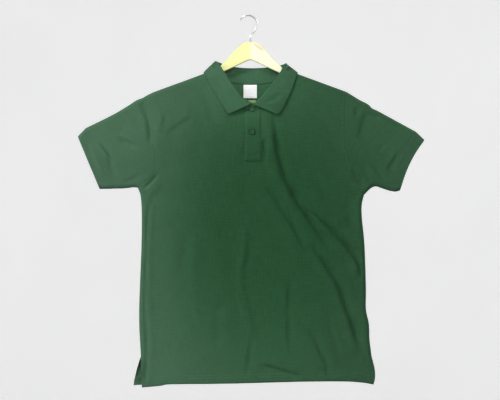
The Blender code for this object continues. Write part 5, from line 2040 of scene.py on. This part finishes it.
@dataclass
class Buttons:
    """Two four-hole buttons sewn on with crossed thread."""

    sewing: Sewing
    rings: tuple[float, ...] = (5.75, 5.6, 5.3, 4.9, 4.5, 4.1, 3.7, 3.3)
    thick: float = 2.4
    dish: float = 0.75
    back: float = 0.3
    hole_radius: float = 0.85
    hole_sides: int = 20
    hole_lip: float = 0.18
    hole_offset: float = 1.55
    strands: Place = (-0.28, 0.0, 0.28)
    sides: int = 64

    def loop(self, x: float, z: float, radius: float, count: int) -> Array:
        """Points round a circle."""
        turn = np.linspace(0.0, 2 * math.pi, count, endpoint=False)
        return np.column_stack([x + radius * np.cos(turn), z + radius * np.sin(turn)])

    def rim(self, r: Array, start: float, width: float) -> Array:
        """Half the button's thickness at radii, rounded off over a width at its rim."""
        past = np.clip((r - start) / width, 0.0, 1.0)
        return 0.5 * self.thick * np.sqrt(np.maximum(0.05, 1.0 - past ** 2))

    def disc(self) -> tuple[Array, Array, Array, Array]:
        """A button's flat mesh with its four holes.

        Returns:
            Its flat points, its faces, and how far each point stands out in front and behind.
        """
        seats = [(i * self.hole_offset, j * self.hole_offset) for i in (-1, 1) for j in (-1, 1)]
        loops = [self.loop(0.0, 0.0, r, self.sides) for r in self.rings]
        loops += [self.loop(*seat, self.hole_radius + grow, self.hole_sides)
                  for seat in seats for grow in (0.0, self.hole_lip)]
        points, edges = [], []
        for ring in loops:
            start, count = len(points), len(ring)
            points += [Vector(p) for p in ring]
            edges += [(start + i, start + (i + 1) % count) for i in range(count)]
        made = delaunay_2d_cdt(points, edges, [], 1, 1e-5)
        flat, faces = np.array([tuple(p) for p in made[0]]), np.array(made[2], int)

        def from_hole(at: Array) -> Array:
            """Distances from the nearest hole's middle."""
            return np.min([np.linalg.norm(at - seat, axis=1) for seat in seats], axis=0)

        faces = faces[from_hole(flat[faces].mean(axis=1)) > self.hole_radius - 0.02]
        r = np.linalg.norm(flat, axis=1)
        front = self.rim(r, 4.9, 0.87) - self.dish * eased((4.6 - r) / 1.3)
        return (flat, faces, front - 0.15 * (from_hole(flat) < self.hole_radius + 0.05),
                self.rim(r, 5.0, 0.77) - self.back)

    def build(self) -> None:
        """Both buttons, with their holes cut through and thread crossed between them."""
        flat, faces, front, back = self.disc()
        for node, (x, z) in BUTTON_AT.items():
            low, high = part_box(node)
            y = 0.5 * (low.y + high.y) / MM + SUNK[node]
            normals = np.tile((0.0, -1.0, 0.0), (len(flat), 1))
            hung = Hung(in_space(flat + (x, z), y), normals, faces, flat)
            seated(hung.wall(f"{node}_disc", BUTTON.material, front, back), node)
            top = y - (0.5 * self.thick - self.dish) - 0.25
            for side in (-self.hole_offset, self.hole_offset):
                for shift in self.strands:
                    ends = np.array([(x + side + shift, top, z + end * self.hole_offset) for end in (-1, 1)])
                    self.sewing.run("buttons", "button", resampled(ends, 0.5))


@dataclass(frozen=True)
class Patch:
    """A label: its names, its left, right, lower and upper edge, its finish, and how its rows are sewn."""

    name: str
    node: str
    slot: str
    box: tuple[float, float, float, float]
    finish: KnitFinish
    rows: tuple[str, str]


@dataclass
class Labels:
    """The bare white label and the small lime tab inside the back of the neck."""

    drape: Drape
    sewing: Sewing
    back: float = -1.35
    bow: float = 0.35
    lift: float = 0.25
    thread_off: float = 0.33
    inset: float = 1.3
    caught: float = 12.0
    edge_lines: Place = (0.1, 0.35, 1.2)
    patches: tuple[Patch, ...] = (
        Patch("neck_label_patch", "neck_label", "label", (-16.4, 15.4, -192.3, -160.9), LABEL,
              ("label", "label")),
        Patch("size_tab_patch", "size_tab", "tab", (-5.0, 13.0, -204.4, -197.4), TAB, ("tab", "tabbed")),
    )

    def build(self) -> None:
        """Both labels, sewn down round their edges."""
        for patch in self.patches:
            left, right, bottom, top = patch.box
            near = np.array(self.edge_lines)
            x, z = (np.unique(np.concatenate([np.linspace(low, high, 33), low + near, high - near]))
                    for low, high in ((left, right), (bottom, top)))
            flat = np.stack(np.meshgrid(x, z), -1).reshape(-1, 2)
            across, up = flat.T
            gap = np.min([across - left, right - across, up - bottom, top - up], axis=0)
            points = self.drape.lifted(flat, Face.BACK, self.back)
            bow = self.bow * np.sin(math.pi * (across - left) / (right - left)) * eased(gap / 5.0)
            points[:, 1] -= bow + self.lift * eased(gap / 1.2)
            faces, normals = outward(points, grid_faces(len(z), len(x)), np.array([0.0, -1.0, 0.0]))
            hung = Hung(points, normals, faces, flat)
            made = hung.wall(patch.name, patch.finish.material, narrowed(TAPE / 2, gap))
            declare(made, patch.node, hung, (right - left, top - bottom + self.caught))
            inner = [(left, bottom), (right, bottom), (right, top), (left, top), (left, bottom)]
            inwards = [(1, 1), (-1, 1), (-1, -1), (1, -1), (1, 1)]
            path = resampled(np.array(inner) + self.inset * np.array(inwards), 1.0)
            run = self.drape.lifted(path, Face.BACK, self.back)
            run[:, 1] -= TAPE / 2 + self.thread_off
            self.sewing.run(*patch.rows, run)


@dataclass
class Hanger:
    """The wooden hanger and its wire hook.

    Rows of `middle` are a place and the plate's upper and lower edge there, and those of `depth_at` are
    a place and the plate's depth there. `dip` is its lower edge under the hook, and `bend` the wire from
    the end of its circle down into the plate.
    """

    thick: float = 12.0
    rounding: float = 2.2
    tip: float = 222.0
    tip_radius: float = 10.0
    clearance: float = 1.7
    wire: float = 1.6
    round_wire: int = 20
    hook_radius: float = 21.1
    hook_centre: float = -5.9
    hook_turn: Point = (156.0, -32.0)
    bend: Route = ((8.6, -36), (2.4, -42.5), (0, -50), (0, -60), (0, -75))
    middle: tuple[tuple[float, float, float], ...] = (
        (0, -60.6, -103), (11, -61.6, -106.8), (20, -65.6, -111), (29, -73.2, -115.2),
        (50, -96, -125.2), (70, -117, -135))
    depth_at: Route = ((80, 16), (85, 16), (120, 19), (165, 21), (205, 20))
    dip: Route = ((-4, -103.9), (0, -103), (4, -103.9))

    def arm_top(self, x: float) -> float:
        """Height of the plate's upper edge under the shoulder cloth."""
        return shoulder_z(x) - 0.5 * CLOTH - self.clearance

    def outline(self) -> Array:
        """The plate's outline, anticlockwise for the viewer.

        Returns:
            Its corners.
        """
        rows = [*self.middle, *((x, self.arm_top(x), self.arm_top(x) - d) for x, d in self.depth_at)]
        slope = math.atan(SHOULDER_SLOPE)
        x = self.tip - self.tip_radius
        centre = np.array([x, self.arm_top(x) - self.tip_radius / math.cos(slope)])
        turn = np.radians(np.linspace(90.0, -70.0, 13)) - slope
        tip = centre + self.tip_radius * np.column_stack([np.cos(turn), np.sin(turn)])
        upper = smooth_curve([(-x, z) for x, z, _ in rows[3:0:-1]] + [(x, z) for x, z, _ in rows[:4]], 2.0)
        straight = np.array([(x, z) for x, z, _ in rows[4:]])
        lower = smooth_curve([*self.dip, *((x, z) for x, _, z in rows[1:])], 2.0)
        upper, lower = (path[path[:, 0] >= -1e-6] for path in (upper, lower))
        half = np.vstack([upper, straight, tip, lower[::-1]])
        half = half[(half[:, 0] > 0.3) | (np.arange(len(half)) % (len(half) - 1) == 0)]
        half[[0, -1], 0] = 0.0
        return np.vstack([half, half[1:-1][::-1] * (-1.0, 1.0)])[::-1]

    def build(self) -> None:
        """The plate with its rounded edges, and the bent wire."""
        outline = self.outline()
        count = len(outline)
        points = np.vstack([in_space(outline, side * 0.5 * self.thick) for side in (-1, 1)])
        faces = [list(range(count)), list(range(2 * count - 1, count - 1, -1))]
        faces += [[(i + 1) % count, i, i + count, (i + 1) % count + count] for i in range(count)]
        plate = solid("hanger_plate", points, faces, WOOD.material, crisp=40.0)
        bevel = plate.modifiers.new("rounded edges", "BEVEL")
        bevel.width, bevel.segments, bevel.limit_method = self.rounding * MM, 6, "ANGLE"
        bevel.angle_limit, bevel.use_clamp_overlap = math.radians(60.0), False
        seated(applied(plate), "hanger_wood")
        self.hook()

    def hook(self) -> None:
        """The wire: most of a circle, a bend, and a stem that goes down into the plate."""
        turn = np.radians(np.linspace(*self.hook_turn, 60))
        centre = np.array([self.hook_centre, self.wire - self.hook_radius])
        ring = centre + self.hook_radius * np.column_stack([np.cos(turn), np.sin(turn)])
        route = smooth_curve([tuple(p) for p in ring[::6]] + list(self.bend), 1.2)
        length, count = travelled(route)[-1], self.round_wire
        ends = self.wire * (1.0 - np.cos(np.radians([0.0, 25.0, 50.0, 75.0])))
        marks = np.concatenate([ends, np.arange(self.wire, length, 1.2), [length]])
        path = along(route, marks)
        blunt = 1.0 - np.clip(marks / self.wire, 0.0, 1.0)
        size = self.wire * np.sqrt(np.maximum(0.002, 1.0 - blunt ** 2))
        way = unit(np.gradient(path, axis=0))
        side, middle = in_space(np.column_stack([-way[:, 1], way[:, 0]]), 0.0), in_space(path, 0.0)
        rings = [middle + size[:, None] * (math.cos(a) * side + math.sin(a) * np.array([0.0, 1.0, 0.0]))
                 for a in np.linspace(0.0, 2 * math.pi, count, endpoint=False)]
        points, grid = np.stack(rings, 1).reshape(-1, 3), grid_faces(len(path), count, closed=True)
        faces, _ = outward(points, grid, points - np.repeat(middle, count, axis=0))
        caps = [list(range(count)), list(range(len(points) - count, len(points)))[::-1]]
        first = points[caps[0]]
        facing = np.cross(first[1] - first[0], first[2] - first[0]) @ np.array([way[0, 0], 0.0, way[0, 1]])
        caps = [cap[::-1] for cap in caps] if facing > 0 else caps
        seated(solid("hook_wire", points, faces.tolist() + caps, WIRE.material), "hanger_hook")


@dataclass(frozen=True)
class Lamp:
    """A square soft light, or with a cone in degrees a narrow soft-edged one, and where it aims."""

    name: str
    power: float
    size: float
    place: Place
    aim: Place = (0.0, 0.0, -0.42)
    cone: float | None = None

    def build(self) -> None:
        """The light; a square one is not itself seen."""
        light = bpy.data.lights.new(self.name, "SPOT" if self.cone else "AREA")
        light.energy = self.power
        if self.cone:
            light.spot_size, light.spot_blend = math.radians(self.cone), 1.0
            light.shadow_soft_size = self.size
        else:
            light.size = self.size
        made = linked(self.name, light)
        made.location, made.visible_camera = self.place, bool(self.cone)
        made.rotation_euler = (Vector(self.aim) - Vector(self.place)).to_track_quat("-Z", "Y").to_euler()


@dataclass
class Studio:
    """A round pale studio, its soft lights and the camera."""

    floor: float = -5.6
    radius: float = 7.0
    bend: float = 2.2
    height: float = 5.6
    sides: int = 96
    distance: float = 3.5
    lens: float = 107.0
    aim: Point = (-0.001, -0.433)
    air: Place = (0.96, 0.97, 0.98)
    air_strength: Point = (0.13, 0.8)
    lamps: tuple[Lamp, ...] = (
        Lamp("key", 26.5, 0.5, (-2.0, -1.3, 0.9)),
        Lamp("key_high", 30.5, 0.5, (-0.8, -1.6, 1.6)),
        Lamp("front", 3.4, 0.8, (0.2, -3.3, 0.35)),
        Lamp("left_near", 0.65, 0.35, (-0.75, -0.45, -0.25), (-0.3, 0.0, -0.3)),
        Lamp("right_near", 1.2, 0.35, (0.75, -0.5, -0.2), (0.33, 0.0, -0.3)),
        Lamp("low_left", 3.0, 0.5, (-1.15, -0.45, -0.82), (-0.2, 0.0, -0.8)),
        Lamp("low_near", 0.4, 0.3, (0.02, -0.36, -0.82), (0.05, 0.0, -0.85)),
        Lamp("neck_light", 150.0, 0.08, (-0.1, -2.5, 0.6), (0.006, 0.0, -0.148), 6.0),
        Lamp("rear_key", 64.0, 0.6, (2.0, 1.7, 1.1)),
        Lamp("rear_fill", 26.0, 1.5, (-1.4, 3.0, 0.2)),
        Lamp("backdrop", 76.0, 3.0, (0.0, 1.2, 1.6), (0.0, 7.0, -0.6)),
    )

    def build(self) -> None:
        """Everything round the object."""
        scene = bpy.context.scene
        scene.view_settings.view_transform = "Standard"
        self.bowl()
        for lamp in self.lamps:
            lamp.build()
        scene.world = bpy.data.worlds.new("studio_air")
        scene.world.use_nodes = True
        graph = Graph(scene.world.node_tree)
        seen = graph.add("ShaderNodeLightPath").outputs["Is Camera Ray"]
        strength = graph.ranged(seen, 0.0, 1.0, *self.air_strength)
        air = graph.add("ShaderNodeBackground", {"Color": self.air, "Strength": strength})
        graph.add("ShaderNodeOutputWorld", {"Surface": air.outputs[0]})
        camera = bpy.data.cameras.new("camera")
        camera.lens, camera.sensor_width = self.lens, 36.0
        scene.camera = linked("camera", camera)
        scene.camera.location = (self.aim[0], -self.distance, self.aim[1])
        scene.camera.rotation_euler = (math.pi / 2, 0.0, 0.0)

    def bowl(self) -> None:
        """A floor that curves up into a round wall."""
        flat = self.radius - self.bend
        profile = [(0.02, 0.0), (flat * 0.5, 0.0)]
        profile += [(flat + self.bend * math.sin(a), self.bend * (1 - math.cos(a)))
                    for a in np.radians(np.linspace(0.0, 90.0, 10))]
        profile.append((self.radius, self.height + self.bend))
        ways = np.linspace(0.0, 2 * math.pi, self.sides, endpoint=False)
        points = np.array([(r * math.cos(a), r * math.sin(a), z + self.floor)
                           for r, z in profile for a in ways])
        faces = grid_faces(len(profile), self.sides, closed=True).tolist() + [list(range(self.sides))[::-1]]
        solid("studio_floor", points / MM, faces, PAPER.material)


def main() -> None:
    """Builds the studio, the hanger and the shirt."""
    logging.basicConfig(level=logging.INFO, format="%(message)s")
    drape = Drape()
    sewing = Sewing(drape)
    Studio().build()
    Hanger().build()
    body = Body(drape, sewing)
    body.build("front_body", Face.FRONT)
    body.build("back_body", Face.BACK)
    for side, edges in (("left", LEFT), ("right", RIGHT)):
        sleeve = Sleeve(drape, sewing, side, edges)
        sleeve.build()
        sleeve.cuff()
    Collar(drape).build()
    Placket(drape, sewing).build()
    Buttons(sewing).build()
    Labels(drape, sewing).build()
    sewing.lay()


if __name__ == "__main__":
    main()
